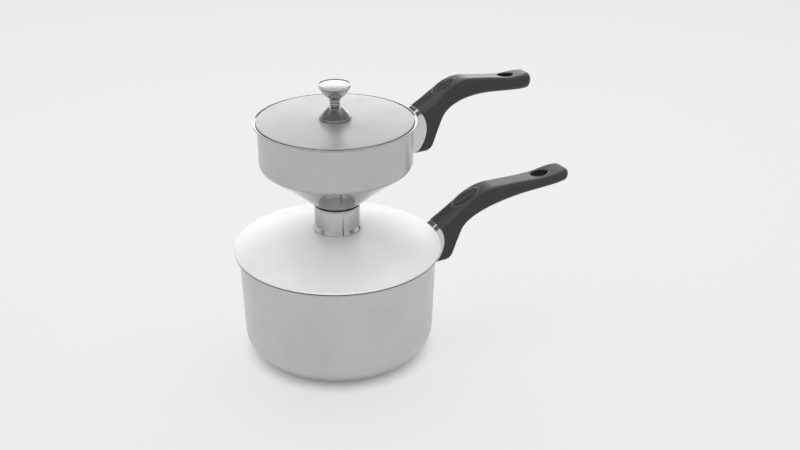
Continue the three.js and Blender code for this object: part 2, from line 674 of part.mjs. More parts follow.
// One handle with its fittings, in a group at the wall.
function handle(prefix, h, wall_radius, lip_flare, lip_edge, clear_radius) {
  const body = handle_body(h);
  const space = pan_space(h, wall_radius, lip_flare, clear_radius);
  const place = bracket_place(h);
  const on_axis = (from, to, radius) => rod(from, to, radius, place.axis);
  const seat = FERRULE_DEPTH + GAP + SCREW_SEAT;
  const washer_foot = seat + GAP;
  const washer_radius = SCREW_RADIUS + WASHER_RIM;
  const head_foot = washer_foot + WASHER_SHEET + GAP;
  const head_end = head_foot + SCREW_HEAD_HEIGHT;
  const head_radius = SCREW_RADIUS + SCREW_HEAD_RIM;

  const bracket = bracket_channel(place).subtract(on_axis(0, seat, SCREW_RADIUS + GAP)).subtract(space);
  const ferrule = body.intersect(joint_roller(h, JOINT_ARC)).subtract(root_hollow(h)).subtract(space);
  const grip = body
    .subtract(joint_roller(h, JOINT_ARC + GAP))
    .subtract(space)
    .subtract(on_axis(0, seat + BITE, SCREW_RADIUS + SCREW_PLAY))
    .subtract(on_axis(seat, h.reach, washer_radius + SCREW_PLAY))
    .subtract(hanging_hole(h))
    .subtract(thumb_recess(h));
  const washer_disc = on_axis(washer_foot, washer_foot + WASHER_SHEET, washer_radius);
  const washer = washer_disc.subtract(on_axis(0, h.reach, SCREW_RADIUS + GAP));
  const slot = box(
    [head_end - SCREW_SLOT_DEPTH, -head_radius, place.axis - SCREW_SLOT / 2],
    [head_end + SCREW_SLOT_DEPTH, head_radius, place.axis + SCREW_SLOT / 2],
  );
  const screw = on_axis(place.depth - BRACKET_SHEET - SCREW_END, head_foot + BITE, SCREW_RADIUS)
    .add(on_axis(head_foot, head_end, head_radius))
    .subtract(slot);

  const group = new THREE.Group();
  group.position.set(wall_radius, 0, lip_edge + h.above_lip);
  group.add(piece(prefix + "_bracket", geometry_of(bracket), zinc));
  group.add(piece(prefix + "_ferrule", geometry_of(ferrule), mirror));
  group.add(piece(prefix + "_grip", geometry_of(grip), phenolic));
  group.add(piece(prefix + "_washer", geometry_of(washer), zinc));
  group.add(piece(prefix + "_screw", geometry_of(screw), zinc));
  return group;
}

const pot_handle = handle(
  "pot",
  POT_HANDLE,
  POT_RADIUS,
  POT_LIP,
  POT_HEIGHT - WALL,
  steam_lid_radius + LIFT_PLAY,
);
const steamer_handle = handle(
  "steamer",
  STEAMER_HANDLE,
  PAN_RADIUS,
  PAN_LIP,
  pan_height - WALL,
  PAN_RADIUS + PAN_LIP + LIFT_PLAY,
);

const couscous_steamer = new THREE.Group();
couscous_steamer.add(pot_shell, pot_handle);
couscous_steamer.add(steam_lid_dome, chimney_collar);
couscous_steamer.add(steamer_shell, steamer_spout, steam_grid, steamer_handle);
couscous_steamer.add(cover_dome, knob_base, knob_spacer, knob_cup, knob_cap);
couscous_steamer.add(knob_washer, knob_screw, knob_nut);

export default couscous_steamer;
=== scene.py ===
# %% [markdown]
# # A couscous steamer in satin steel, mirror steel and moulded plastic
# The imported model is the frame of this lesson: it has every piece at its real size and in its real place,
# but with flat facets. Here each round piece gets a fine surface of the same size, and each finish gets the
# marks that its making leaves. The frame is loaded first, and the boxes of its parts give the sizes.

# %% The frame
import math

import bpy
import numpy as np
from mathutils import Matrix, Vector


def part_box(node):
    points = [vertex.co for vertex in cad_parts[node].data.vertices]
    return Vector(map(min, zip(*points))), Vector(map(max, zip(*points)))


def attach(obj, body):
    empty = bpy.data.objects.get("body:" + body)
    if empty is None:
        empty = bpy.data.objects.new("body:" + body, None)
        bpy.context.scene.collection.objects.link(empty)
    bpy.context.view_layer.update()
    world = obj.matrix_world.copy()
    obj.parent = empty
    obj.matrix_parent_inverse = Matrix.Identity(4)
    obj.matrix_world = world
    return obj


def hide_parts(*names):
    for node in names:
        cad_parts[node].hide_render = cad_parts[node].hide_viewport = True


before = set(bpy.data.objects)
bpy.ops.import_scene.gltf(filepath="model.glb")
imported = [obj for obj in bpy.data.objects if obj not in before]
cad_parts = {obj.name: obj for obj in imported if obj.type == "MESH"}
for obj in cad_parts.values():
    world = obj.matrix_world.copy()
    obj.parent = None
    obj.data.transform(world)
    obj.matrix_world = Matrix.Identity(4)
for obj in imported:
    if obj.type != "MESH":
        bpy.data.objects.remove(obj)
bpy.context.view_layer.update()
scene = bpy.context.scene
scene.view_settings.view_transform = "Standard"
MM = 0.001


def corners(node_name):
    """A CAD node's lowest and highest corners, as two arrays in millimetres."""
    low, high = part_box(node_name)
    return np.array(low) / MM, np.array(high) / MM


# %% [markdown]
# ## Camera
# The camera looks down on the stack, with the handles pointing right and a little away. It could be aimed
# with a constraint, but three angles and a place are all it needs: the bearing, the dip below the horizon
# and a small roll. They come from fitting the rims' ellipses, so the render has the photograph's view.

# %% The camera
CAMERA_PLACE = (-0.3983, -0.8542, 0.5790)
BEARING = math.radians(28.53)
DIP = math.radians(25.74)
ROLL = math.radians(0.342)
FOCUS_PIXELS = 1124.97
IMAGE_WIDTH = 800

level_right = np.array([math.cos(BEARING), -math.sin(BEARING), 0.0])
level_ahead = np.array([math.sin(BEARING), math.cos(BEARING), 0.0])
ahead = level_ahead * math.cos(DIP) - np.array([0, 0, math.sin(DIP)])
upward = np.cross(level_right, ahead)
camera_right = level_right * math.cos(ROLL) + upward * math.sin(ROLL)
camera_up = upward * math.cos(ROLL) - level_right * math.sin(ROLL)
turn = np.eye(4)
turn[:3, :3] = np.stack([camera_right, camera_up, -ahead], axis=1)
turn[:3, 3] = CAMERA_PLACE

camera = bpy.data.objects.new("camera", bpy.data.cameras.new("camera"))
camera.data.sensor_fit = "HORIZONTAL"
camera.data.lens = FOCUS_PIXELS / IMAGE_WIDTH * camera.data.sensor_width
camera.matrix_world = Matrix(turn)
scene.collection.objects.link(camera)
scene.camera = camera
print("camera: lens", round(camera.data.lens, 2), "mm")

# %% [markdown]
# ## Nodes in few words
# Materials, groups and the world are all node trees. They could be wired one socket at a time, but that
# hides what a finish is made of. These helpers take a number, a colour or another node's output in the same
# place, so that the later cells read as a list.

# %% Helpers for nodes
# A Mix node keeps its two inputs and its output at these places, by the kind of data.
MIX_SOCKETS = {"FLOAT": (2, 3, 0), "RGBA": (6, 7, 2)}


def put(tree, socket, value):
    """Sets an input socket to a value, or joins it to the output socket that is given instead."""
    if isinstance(value, bpy.types.NodeSocket):
        tree.links.new(value, socket)
    else:
        socket.default_value = value


def node(tree, kind, settings=None, **inputs):
    """A node of that kind. Settings are its options, and inputs its named sockets, with _ for a space."""
    made = tree.nodes.new("ShaderNode" + kind)
    for name, value in (settings or {}).items():
        setattr(made, name, value)
    for name, value in inputs.items():
        put(tree, made.inputs[name.replace("_", " ")], value)
    return made


def math_node(tree, operation, *values):
    """The result of a Math node for one value or two."""
    made = node(tree, "Math", {"operation": operation})
    for socket, value in zip(made.inputs, values):
        put(tree, socket, value)
    return made.outputs[0]


def spread(tree, value, low, high, to_low, to_high):
    """A value eased by a Map Range node from the range low to high into the range to_low to to_high."""
    limits = {"From_Min": low, "From_Max": high, "To_Min": to_low, "To_Max": to_high}
    made = node(tree, "MapRange", {"interpolation_type": "SMOOTHSTEP"}, Value=value, **limits)
    return made.outputs["Result"]


def mixed(tree, factor, first, second, kind="RGBA"):
    """The result of a Mix node: the first value where the factor is 0, the second where it is 1."""
    made = node(tree, "Mix", {"data_type": kind})
    first_place, second_place, result_place = MIX_SOCKETS[kind]
    put(tree, made.inputs[0], factor)
    put(tree, made.inputs[first_place], first)
    put(tree, made.inputs[second_place], second)
    return made.outputs[result_place]


print("node helpers: put, node, math_node, spread, mixed")

# %% [markdown]
# ## Groups, finishes and where a point is
# A node group is a recipe that several materials share. Its sockets could be added by hand in the editor,
# and here they are named in a line. A pattern has to know where it is on the piece. Object coordinates say
# so and move along with the piece, where world coordinates would let the pattern slide.

# %% Helpers for groups and finishes
def new_group(name, inputs, output):
    """A shader node group with number inputs, given as label and value, and one number output. Returns the
    group, the sockets that bring its inputs, and the socket that takes its output."""
    group = bpy.data.node_groups.new(name, "ShaderNodeTree")
    for label, value in inputs.items():
        socket = group.interface.new_socket(label, in_out="INPUT", socket_type="NodeSocketFloat")
        socket.default_value = value
    group.interface.new_socket(output, in_out="OUTPUT", socket_type="NodeSocketFloat")
    given = group.nodes.new("NodeGroupInput").outputs
    return group, given, group.nodes.new("NodeGroupOutput").inputs[output]


def new_finish(name):
    """A material, its node tree, and the input sockets of its shader."""
    finish = bpy.data.materials.new(name)
    finish.use_nodes = True
    return finish, finish.node_tree, finish.node_tree.nodes["Principled BSDF"].inputs


def on_piece(tree):
    """The point's place on its piece."""
    return node(tree, "TexCoord").outputs["Object"]


def relief(tree, height, depth):
    """The normal of a relief, from its height between 0 and 1 and its depth in millimetres."""
    return node(tree, "Bump", Strength=1.0, Distance=depth * MM, Height=height).outputs["Normal"]


print("finish helpers: new_group, new_finish, on_piece, relief")

# %% [markdown]
# ## Floor
# Polished steel shows its surroundings, so the studio is half of its look, and a pale floor fills the
# lower half of every reflection. It could be lit until it is white, but the lamps would then bleach the
# object. So it glows a little, for the camera and for reflections only. Under the pot's round corner,
# where little light gets in, the glow fades into a painted contact shadow, and the pot keeps its dark
# line of contact.

# %% The floor
FLOOR_SIZE = 40.0
FLOOR_DROP = 0.3 * MM
FLOOR_COLOUR = (0.50, 0.50, 0.50, 1)
FLOOR_ROUGHNESS = 0.7
FLOOR_GLOW = 0.63
GLOW_COLOUR = (1, 1, 1, 1)
# Painted contact shadow: the glow falls to CONTACT_GLOW of itself between these distances from the axis.
CONTACT_START = 64.0 * MM
CONTACT_END = 95.0 * MM
CONTACT_GLOW = 0.1

floor_points = np.array([(-1, -1, 0), (1, -1, 0), (1, 1, 0), (-1, 1, 0)]) * FLOOR_SIZE / 2
floor_points[:, 2] = -FLOOR_DROP
floor_mesh = bpy.data.meshes.new("floor")
floor_mesh.from_pydata(floor_points, [], [(0, 1, 2, 3)])
floor = bpy.data.objects.new("floor", floor_mesh)
scene.collection.objects.link(floor)

floor_paint, paint, painted = new_finish("floor_paint")
painted["Base Color"].default_value = FLOOR_COLOUR
painted["Roughness"].default_value = FLOOR_ROUGHNESS
painted["Emission Color"].default_value = GLOW_COLOUR
ray = node(paint, "LightPath").outputs
seen = math_node(paint, "MAXIMUM", ray["Is Camera Ray"], ray["Is Glossy Ray"])
seen = math_node(paint, "MAXIMUM", seen, ray["Is Transmission Ray"])
from_axis = node(paint, "VectorMath", {"operation": "LENGTH"}, Vector=on_piece(paint)).outputs["Value"]
# Painted contact shadow: the floor's glow fades under the pot's round corner.
clear = spread(paint, from_axis, CONTACT_START, CONTACT_END, CONTACT_GLOW, 1)
glow = math_node(paint, "MULTIPLY", seen, FLOOR_GLOW)
put(paint, painted["Emission Strength"], math_node(paint, "MULTIPLY", glow, clear))
floor_mesh.materials.append(floor_paint)
print("floor:", FLOOR_SIZE, "m across")

# %% [markdown]
# ## Room
# Beyond the floor the room is pale low down all round, pale a little higher behind the stack and in front
# of it, and dim overhead and to the sides. The dim parts shade the round walls and make the knob look
# dark. A picture of a real room could surround the scene, but two greys mixed by direction are easier to
# tune.

# %% The room
HORIZON_LIGHT = (0.80, 0.80, 0.80, 1)
CEILING_LIGHT = (0.15, 0.15, 0.155, 1)
HAZE_FOOT = math.sin(math.radians(10))
HAZE_TOP = math.sin(math.radians(36))
BAND_FOOT = math.sin(math.radians(3))
BAND_TOP = math.sin(math.radians(14))
SIDE_DARK = 0.2
SIDE_PALE = 0.75

world = bpy.data.worlds.new("studio")
world.use_nodes = True
scene.world = world
sky = world.node_tree
direction = node(sky, "TexCoord").outputs["Generated"]
height = node(sky, "SeparateXYZ", Vector=direction).outputs["Z"]
along_view = node(sky, "VectorMath", {"operation": "DOT_PRODUCT"})
put(sky, along_view.inputs[0], direction)
put(sky, along_view.inputs[1], level_ahead)
either_way = math_node(sky, "ABSOLUTE", along_view.outputs["Value"])
haze = spread(sky, height, HAZE_FOOT, HAZE_TOP, 1, 0)
facing = spread(sky, either_way, SIDE_DARK, SIDE_PALE, 0, 1)
low_band = spread(sky, height, BAND_FOOT, BAND_TOP, 1, 0)
pale = math_node(sky, "MAXIMUM", math_node(sky, "MULTIPLY", haze, facing), low_band)
put(sky, sky.nodes["Background"].inputs["Color"], mixed(sky, pale, CEILING_LIGHT, HORIZON_LIGHT))
print("room: horizon", HORIZON_LIGHT[0], "ceiling", CEILING_LIGHT[0])

# %% [markdown]
# ## Lamps
# A wide soft lamp hangs over the back of the stack and a second stands low behind it, and both show in the
# steel. Two fills light only the matte surfaces, because a mirror would show them as hard white squares. An
# area lamp lights what lies in front of its own plane, so where a low lamp's plane meets the floor, its
# light would end in a straight edge. Such lamps could stand farther off and be larger. Light linking is
# simpler: it leaves the floor out of what they light.

# %% The lamps
LAMP_AIM = np.array([0, 0, 0.12])


def soft_lamp(name, bearing, rise, distance, size, brightness):
    """A rectangular lamp that faces the stack. Its place is a bearing from the camera's line ahead, a rise
    above the horizon, both in degrees, and a distance. Area A at brightness L takes pi A L watts."""
    bearing = math.radians(bearing)
    rise = math.radians(rise)
    level = level_ahead * math.cos(bearing) + level_right * math.sin(bearing)
    towards = level * math.cos(rise) + np.array([0, 0, math.sin(rise)])
    side = np.cross([0, 0, 1], towards)
    side = side / np.linalg.norm(side)
    place = np.eye(4)
    place[:3, :3] = np.stack([side, np.cross(towards, side), towards], axis=1)
    place[:3, 3] = LAMP_AIM + towards * distance
    width, length = size
    lamp = bpy.data.lights.new(name, "AREA")
    lamp.shape = "RECTANGLE"
    lamp.size = width
    lamp.size_y = length
    lamp.energy = math.pi * width * length * brightness
    holder = bpy.data.objects.new(name, lamp)
    holder.matrix_world = Matrix(place)
    scene.collection.objects.link(holder)
    return holder


soft_lamp("overhead_lamp", bearing=0, rise=70, distance=1.5, size=(2.2, 1.3), brightness=0.9)
back_lamp = soft_lamp("back_lamp", bearing=0, rise=11, distance=1.9, size=(2.6, 1.0), brightness=1.05)
front_fill = soft_lamp("front_fill", bearing=180, rise=36, distance=1.6, size=(3.2, 2.0), brightness=2.2)
back_fill = soft_lamp("back_fill", bearing=0, rise=50, distance=1.6, size=(3.0, 1.6), brightness=1.2)
for fill in (front_fill, back_fill):
    fill.visible_glossy = False
not_floor = bpy.data.collections.new("not_floor")
not_floor.objects.link(floor)
not_floor.collection_objects[0].light_linking.link_state = "EXCLUDE"
for low_lamp in (back_lamp, front_fill, back_fill):
    low_lamp.light_linking.receiver_collection = not_floor

# %% [markdown]
# ## Surfaces from arrays
# Nearly every piece here is turned or pressed on a lathe, so its shape is an outline carried round the
# axis. Blender's Screw modifier could do that. Doing it with whole arrays instead keeps every point in
# its real place, gives exact poles and seams, and lets a later line bend the points, as the collar's weld
# does. First come the faces between the points of a grid, and what every finished piece gets.

# %% Grids of faces, and pieces
SHARP_ANGLE = math.radians(38)


def woven(rows, columns, round_rows):
    """Four-sided faces between neighbouring points of a grid. Columns close on themselves, rows if asked."""
    first_rows = np.arange(rows if round_rows else rows - 1)
    row, column = np.meshgrid(first_rows, np.arange(columns), indexing="ij")
    next_row = (row + 1) % rows
    next_column = (column + 1) % columns
    first = row * columns
    second = next_row * columns
    faces = [first + column, first + next_column, second + next_column, second + column]
    return np.stack(faces, axis=-1).reshape(-1, 4)


def mesh_object(name, points, faces):
    """A mesh object at the origin, from points in millimetres."""
    mesh = bpy.data.meshes.new(name)
    mesh.from_pydata(np.asarray(points) * MM, [], faces)
    made = bpy.data.objects.new(name, mesh)
    scene.collection.objects.link(made)
    return made


def finish_piece(made, finish, slot, body, *nodes):
    """Smooth shading that breaks at sharp edges, a finish, a body to ride on, and the nodes it replaces."""
    mesh = made.data
    mesh.polygons.foreach_set("use_smooth", np.ones(len(mesh.polygons), bool))
    mesh.set_sharp_from_angle(angle=SHARP_ANGLE)
    mesh.materials.clear()
    mesh.materials.append(finish)
    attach(made, body)
    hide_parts(*nodes)
    print(made.name, len(mesh.polygons), "faces")


print("surface helpers: woven, mesh_object, finish_piece")

# %% [markdown]
# ## Outlines
# Sheet metal is drawn with straights, arcs and easy curves. A Blender curve could hold such an outline, but
# rows of points can be joined, moved and turned in one line each, and their number is known.

# %% Straights, bows and curves
SAME_POINT = 1e-5


def straight(start, end, steps):
    """Points along a line, evenly spaced."""
    return np.linspace(start, end, steps + 1)


def bow(centre, radius, start, end, steps):
    """Points along a circle: the centre plus the radius times cosine and sine of an even row of angles."""
    angle = np.radians(np.linspace(start, end, steps + 1))
    return np.stack([centre[0] + radius * np.cos(angle), centre[1] + radius * np.sin(angle)], axis=1)


def joined(*parts):
    """One line from several, without the repeated points where they meet."""
    line = np.concatenate(parts)
    step = np.linalg.norm(np.diff(line, axis=0), axis=1)
    return line[np.append(True, step > SAME_POINT)]


def bezier(controls, steps):
    """A Bezier curve: each control point times its Bernstein weight, which is a binomial number times
    powers of t and 1 - t, added up for an even row of t."""
    controls = np.array(controls, float)
    order = len(controls) - 1
    t = np.linspace(0, 1, steps + 1)[:, None]
    power = np.arange(order + 1)
    count = np.array([math.comb(order, k) for k in power])
    return (count * t**power * (1 - t) ** (order - power)) @ controls


print("outline helpers: straight, bow, joined, bezier")

# %% [markdown]
# ## Soft corners
# No edge of real sheet or turned metal is quite sharp, and its small round is what catches the light. A
# Bevel modifier would round every edge by one width. Here each corner of an outline states its own round,
# and an arc takes the corner's place before the outline is carried round.

# %% Outlines with soft corners
CORNER_STEPS = 7
CORNER_ROOM = 0.45
SPARE_LENGTH = 0.3
SPARE_SHARE = 0.3
NO_BEND = 1e-9


def softened(outline, closed=True):
    """An outline with rounded corners, from rows of radius, height and round. A corner's arc starts and ends
    at round times the tangent of half the turn from it, and its centre is square to the first side. A spare
    point just off each end of the arc keeps the flat sides flat in the shading."""
    given = np.array(outline, float)
    spot = given[:, :2]
    arrive = spot - np.roll(spot, 1, axis=0)
    leave = np.roll(spot, -1, axis=0) - spot
    if not closed:
        arrive[0] = leave[0]
        leave[-1] = arrive[-1]
    long_in = np.linalg.norm(arrive, axis=1)
    long_out = np.linalg.norm(leave, axis=1)
    arrive = arrive / long_in[:, None]
    leave = leave / long_out[:, None]
    cross = arrive[:, 0] * leave[:, 1] - arrive[:, 1] * leave[:, 0]
    bend = np.arctan2(cross, (arrive * leave).sum(axis=1))
    room = CORNER_ROOM * np.minimum(long_in, long_out)
    slack = np.tan(np.abs(bend) / 2) + NO_BEND
    touch = np.minimum(given[:, 2] * slack, room)
    radius = touch / slack * np.sign(bend)
    square = np.stack([-arrive[:, 1], arrive[:, 0]], axis=1)
    start = spot - arrive * touch[:, None]
    centre = start + square * radius[:, None]
    angle = bend[:, None] * np.linspace(0, 1, CORNER_STEPS + 1)
    arm = start - centre
    x = arm[:, :1] * np.cos(angle) - arm[:, 1:] * np.sin(angle)
    z = arm[:, :1] * np.sin(angle) + arm[:, 1:] * np.cos(angle)
    arcs = np.stack([x, z], axis=-1) + centre[:, None]
    spare = np.minimum(SPARE_LENGTH, SPARE_SHARE * (room - touch))
    spare = np.where(touch > 0, spare, 0)[:, None]
    before = start - arrive * spare
    after = arcs[:, -1] + leave * spare
    return joined(np.concatenate([before[:, None], arcs, after[:, None]], axis=1).reshape(-1, 2))


print("softened: corners of", CORNER_STEPS, "steps")

# %% [markdown]
# ## Bent sheet and turning
# A pan is one sheet of even thickness with a rounded rim. A Solidify modifier on a single surface would
# leave the rim square, so the outline itself goes out, round the edge and back. Turning then carries any
# outline round the upright axis, in sides so short that even the wide rims look round.

# %% Outlines thickened, and carried round the axis
WIDE_SIDES = 288
NARROW_SIDES = 128
EDGE_POINTS = 9
ON_AXIS = 1e-6


def thickened(path, sheet):
    """The closed outline of bent sheet: a path, a half round at its end, and the path moved by the sheet
    along its left-hand normal, back again. A start that isn't on the axis gets a half round too."""
    along = np.gradient(path, axis=0)
    along = along / np.linalg.norm(along, axis=1)[:, None]
    inner = path + sheet * np.stack([-along[:, 1], along[:, 0]], axis=1)
    angle = np.linspace(0, np.pi, EDGE_POINTS)[1:-1, None]

    def edge(start, end, outward):
        middle = (start + end) / 2
        return middle + (start - middle) * np.cos(angle) + outward * sheet / 2 * np.sin(angle)

    parts = [path, edge(path[-1], inner[-1], along[-1]), inner[::-1]]
    if path[0, 0] > 0:
        parts.append(edge(inner[0], path[0], -along[0]))
    return np.concatenate(parts)


def turned(outline, sides):
    """An outline carried round +Z. Point (i, j) is at radius r_i, height z_i and angle 2 pi j / sides. An
    outline that starts and ends on the axis closes in two poles, and any other closes on itself."""
    angle = np.linspace(0, 2 * np.pi, sides, endpoint=False)
    on_axis = outline[:, 0] < ON_AXIS
    ring = outline[~on_axis]
    radius = ring[:, :1]
    level = np.repeat(ring[:, 1:], sides, axis=1)
    points = np.stack([radius * np.cos(angle), radius * np.sin(angle), level], axis=-1).reshape(-1, 3)
    closed = not on_axis.any()
    faces = woven(len(ring), sides, closed).tolist()
    if closed:
        return points, faces
    column = np.arange(sides)
    beside = (column + 1) % sides
    low_pole = np.full(sides, len(points))
    top_ring = (len(ring) - 1) * sides
    faces += np.stack([low_pole, beside, column], axis=1).tolist()
    faces += np.stack([top_ring + column, top_ring + beside, low_pole + 1], axis=1).tolist()
    poles = [[0, 0, outline[0, 1]], [0, 0, outline[-1, 1]]]
    return np.concatenate([points, poles]), faces


print("turned: outlines with", WIDE_SIDES, "or", NARROW_SIDES, "sides")

# %% [markdown]
# ## Marks that finishing leaves
# Satin sheet is rubbed while it spins, so its scratches run round the axis, on walls, cones and lids
# alike. A stretched noise on a UV map could draw them, piece by piece. One group does it for all of them,
# from two numbers that stay the same all the way round, the radius and the height, and a slow third one
# that breaks the lines up.

# %% Group: lines round the axis
SATIN_LINES = 1500.0
LINE_BREAKS = 14.0
spun_lines, given, ridge = new_group("spun_lines", {"Lines": SATIN_LINES, "Breaks": LINE_BREAKS}, "Ridge")
axes = node(spun_lines, "SeparateXYZ", Vector=on_piece(spun_lines)).outputs
across = math_node(spun_lines, "MULTIPLY", axes["X"], axes["X"])
deep = math_node(spun_lines, "MULTIPLY", axes["Y"], axes["Y"])
from_axis = math_node(spun_lines, "SQRT", math_node(spun_lines, "ADD", across, deep))
drift = math_node(spun_lines, "ADD", axes["X"], axes["Y"])
weave = node(
    spun_lines,
    "CombineXYZ",
    X=math_node(spun_lines, "MULTIPLY", from_axis, given["Lines"]),
    Y=math_node(spun_lines, "MULTIPLY", axes["Z"], given["Lines"]),
    Z=math_node(spun_lines, "MULTIPLY", drift, given["Breaks"]),
).outputs["Vector"]
streaks = node(spun_lines, "TexNoise", Vector=weave, Scale=1.0, Detail=4.0, Roughness=0.62)
put(spun_lines, ridge, streaks.outputs["Fac"])
print("group:", spun_lines.name)

# %% [markdown]
# ## Marks that hands leave
# Handled metal and plastic have faint cloudy patches with finer smears in them. A painted mask could show
# them, but it would fit one piece only. Two noises multiplied give patches that never repeat, and a
# finish can say how large they are.

# %% Group: cloudy patches from hands
PATCH_RANGE = (0.42, 0.72)
SMEAR_RANGE = (0.3, 0.75)
SMEAR_LEAST = 0.25
SMEAR_BEND = 0.8
handling, given, mask = new_group("handling", {"Patches": 22.0, "Smears": 160.0}, "Mask")
place = on_piece(handling)
clouds = node(handling, "TexNoise", Vector=place, Scale=given["Patches"], Detail=2.0, Roughness=0.5)
smears = node(handling, "TexNoise", Vector=place, Scale=given["Smears"], Detail=3.0, Roughness=0.6)
put(handling, smears.inputs["Distortion"], SMEAR_BEND)
patch = spread(handling, clouds.outputs["Fac"], *PATCH_RANGE, 0, 1)
smear = spread(handling, smears.outputs["Fac"], *SMEAR_RANGE, SMEAR_LEAST, 1)
put(handling, mask, math_node(handling, "MULTIPLY", patch, smear))
print("group:", handling.name)

# %% [markdown]
# ## Steels
# All the metal is stainless steel, and its polish more than its colour tells the pieces apart. The walls
# and the cover are satin, the steam lid is blasted so matte that it is half like paint, the knob's bell
# is a darker satin, and the collar, the cup and the handles' guards are polished. Each could have its own
# nodes, but then their marks would drift apart. One function makes them all, from a colour in clean
# places and in handled ones, the least and most roughness, and the depth of the lines.

# %% A steel finish
WARMTH = 0.005
NOISE_RANGE = (0.3, 0.7)
SATIN_DEPTH = 0.012
PLAIN_DEPTH = 0.01
BELL_DEPTH = 0.003
MIRROR_DEPTH = 0.001
SATIN_HAZE = 0.05
MIRROR_HAZE = 0.06
PLAIN_HAZE = 0.12
PLAIN_BRIGHT = (0.50, 0.505, 0.51, 1)
PLAIN_DULL = (0.42, 0.42, 0.42, 1)


def grey(level):
    """The colour of stainless steel at a level of grey, with a little less blue."""
    return (level, level, level - WARMTH, 1)


def steel(name, bright, dull, roughness, line_depth, haze=SATIN_HAZE, metal=1.0):
    """A metal whose roughness runs between two values with its lines, and rises by haze in the hand marks.
    Its colour goes from bright to dull in the same marks, and the lines are that deep, in millimetres."""
    finish, tree, shader = new_finish(name)
    shader["Metallic"].default_value = metal
    lines = node(tree, "Group", {"node_tree": spun_lines}, Lines=SATIN_LINES).outputs["Ridge"]
    marks = node(tree, "Group", {"node_tree": handling}).outputs["Mask"]
    rough = spread(tree, lines, *NOISE_RANGE, *roughness)
    put(tree, shader["Roughness"], math_node(tree, "ADD", rough, math_node(tree, "MULTIPLY", marks, haze)))
    put(tree, shader["Base Color"], mixed(tree, marks, bright, dull))
    put(tree, shader["Normal"], relief(tree, lines, line_depth))
    return finish


wall_steel = steel("wall_steel", grey(0.57), grey(0.53), (0.27, 0.36), SATIN_DEPTH)
pan_steel = steel("pan_steel", grey(0.53), grey(0.49), (0.27, 0.36), SATIN_DEPTH)
lid_steel = steel("lid_steel", grey(0.80), grey(0.76), (0.40, 0.48), SATIN_DEPTH, metal=0.4)
cover_steel = steel("cover_steel", grey(0.66), grey(0.62), (0.35, 0.43), SATIN_DEPTH, metal=0.9)
collar_steel = steel("collar_steel", grey(0.54), grey(0.50), (0.06, 0.09), MIRROR_DEPTH, MIRROR_HAZE)
knob_steel = steel("knob_steel", grey(0.60), grey(0.56), (0.12, 0.16), MIRROR_DEPTH, MIRROR_HAZE)
bell_steel = steel("bell_steel", grey(0.50), grey(0.46), (0.28, 0.34), BELL_DEPTH, MIRROR_HAZE)
mirror_steel = steel("mirror_steel", grey(0.62), grey(0.57), (0.05, 0.07), MIRROR_DEPTH, MIRROR_HAZE)
plain_steel = steel("plain_steel", PLAIN_BRIGHT, PLAIN_DULL, (0.32, 0.42), PLAIN_DEPTH, PLAIN_HAZE)
print("finishes:", [finish.name for finish in bpy.data.materials])

# %% [markdown]
# ## A pan with two polishes
# The steamer pan is one sheet, but its wall is satin while its cone and the roll of its rim are polished.
# The mesh could be split, but the polish doesn't change the shape. So the same nodes get a band of
# heights, and outside that band the roughness falls to a mirror's and the lines fade out.

# %% The pan's finish
PAN_LIP = 3.6
PAN_CORNER = 7.3
PAN_SLOPE = math.radians(38.9)
PAN_WALL_HEIGHT = 32.4
SHEET = 1.0
POLISH_EDGE = 0.25
POLISHED = 0.07
pan_low, pan_high = corners("steamer_shell")
pan_radius = pan_high[0] - PAN_LIP
pan_lip_start = pan_high[2] - SHEET - PAN_LIP
pan_wall_foot = pan_lip_start - PAN_WALL_HEIGHT
pan_crease = pan_wall_foot - PAN_CORNER * math.cos(PAN_SLOPE)


def polish_outside(finish, low, high, roughness):
    """Takes a finish to that roughness below one height and above another, and fades its relief there. The
    mask is one easing up at the low height times one easing down at the high height."""
    tree = finish.node_tree
    shader = tree.nodes["Principled BSDF"].inputs
    level = node(tree, "SeparateXYZ", Vector=on_piece(tree)).outputs["Z"]
    rising = spread(tree, level, (low - POLISH_EDGE) * MM, (low + POLISH_EDGE) * MM, 0, 1)
    falling = spread(tree, level, (high - POLISH_EDGE) * MM, (high + POLISH_EDGE) * MM, 1, 0)
    satin_part = math_node(tree, "MULTIPLY", rising, falling)
    satin = shader["Roughness"].links[0].from_socket
    put(tree, shader["Roughness"], mixed(tree, satin_part, roughness, satin, "FLOAT"))
    bump = shader["Normal"].links[0].from_node
    lines = bump.inputs["Height"].links[0].from_socket
    put(tree, bump.inputs["Height"], math_node(tree, "MULTIPLY", lines, satin_part))


pan_satin_top = pan_lip_start + PAN_LIP / 2
polish_outside(pan_steel, pan_crease, pan_satin_top, POLISHED)
print("pan: satin from", round(pan_crease, 1), "to", round(pan_satin_top, 1), "mm")

# %% [markdown]
# ## Grip plastic
# The grips are moulded from a dark heat-proof plastic. Up close its skin has a fine even grain and is a
# little cloudy. Along the long edges and on the top past the bend it is paler and smoother: partly wear
# from hands and cloths, partly a painted sheen where those faces catch the light. Round the thumb's
# hollow the paler rim is a painted highlight. Wear could be guessed from the sharpness of edges, but then
# every edge would show it. Instead the grip's mesh carries a number for this wear, sheen and highlight,
# and the finish reads it.

# %% The grip's finish
GRAIN_SCALE = 1400.0
GRAIN_DEPTH = 0.02
GRIP_ROUGHNESS = (0.27, 0.37)
GRIP_IOR = 1.5
GRIP_DARK = (0.012, 0.012, 0.013, 1)
GRIP_CLOUDED = (0.019, 0.019, 0.020, 1)
# Paler colour for wear and painted sheen on the grip's edges and top, and painted highlight on its rim.
GRIP_WEAR_AND_SHEEN = (0.12, 0.12, 0.121, 1)
WEAR_AND_SHEEN_MOST = 0.7
WORN_SMOOTHER = -0.08

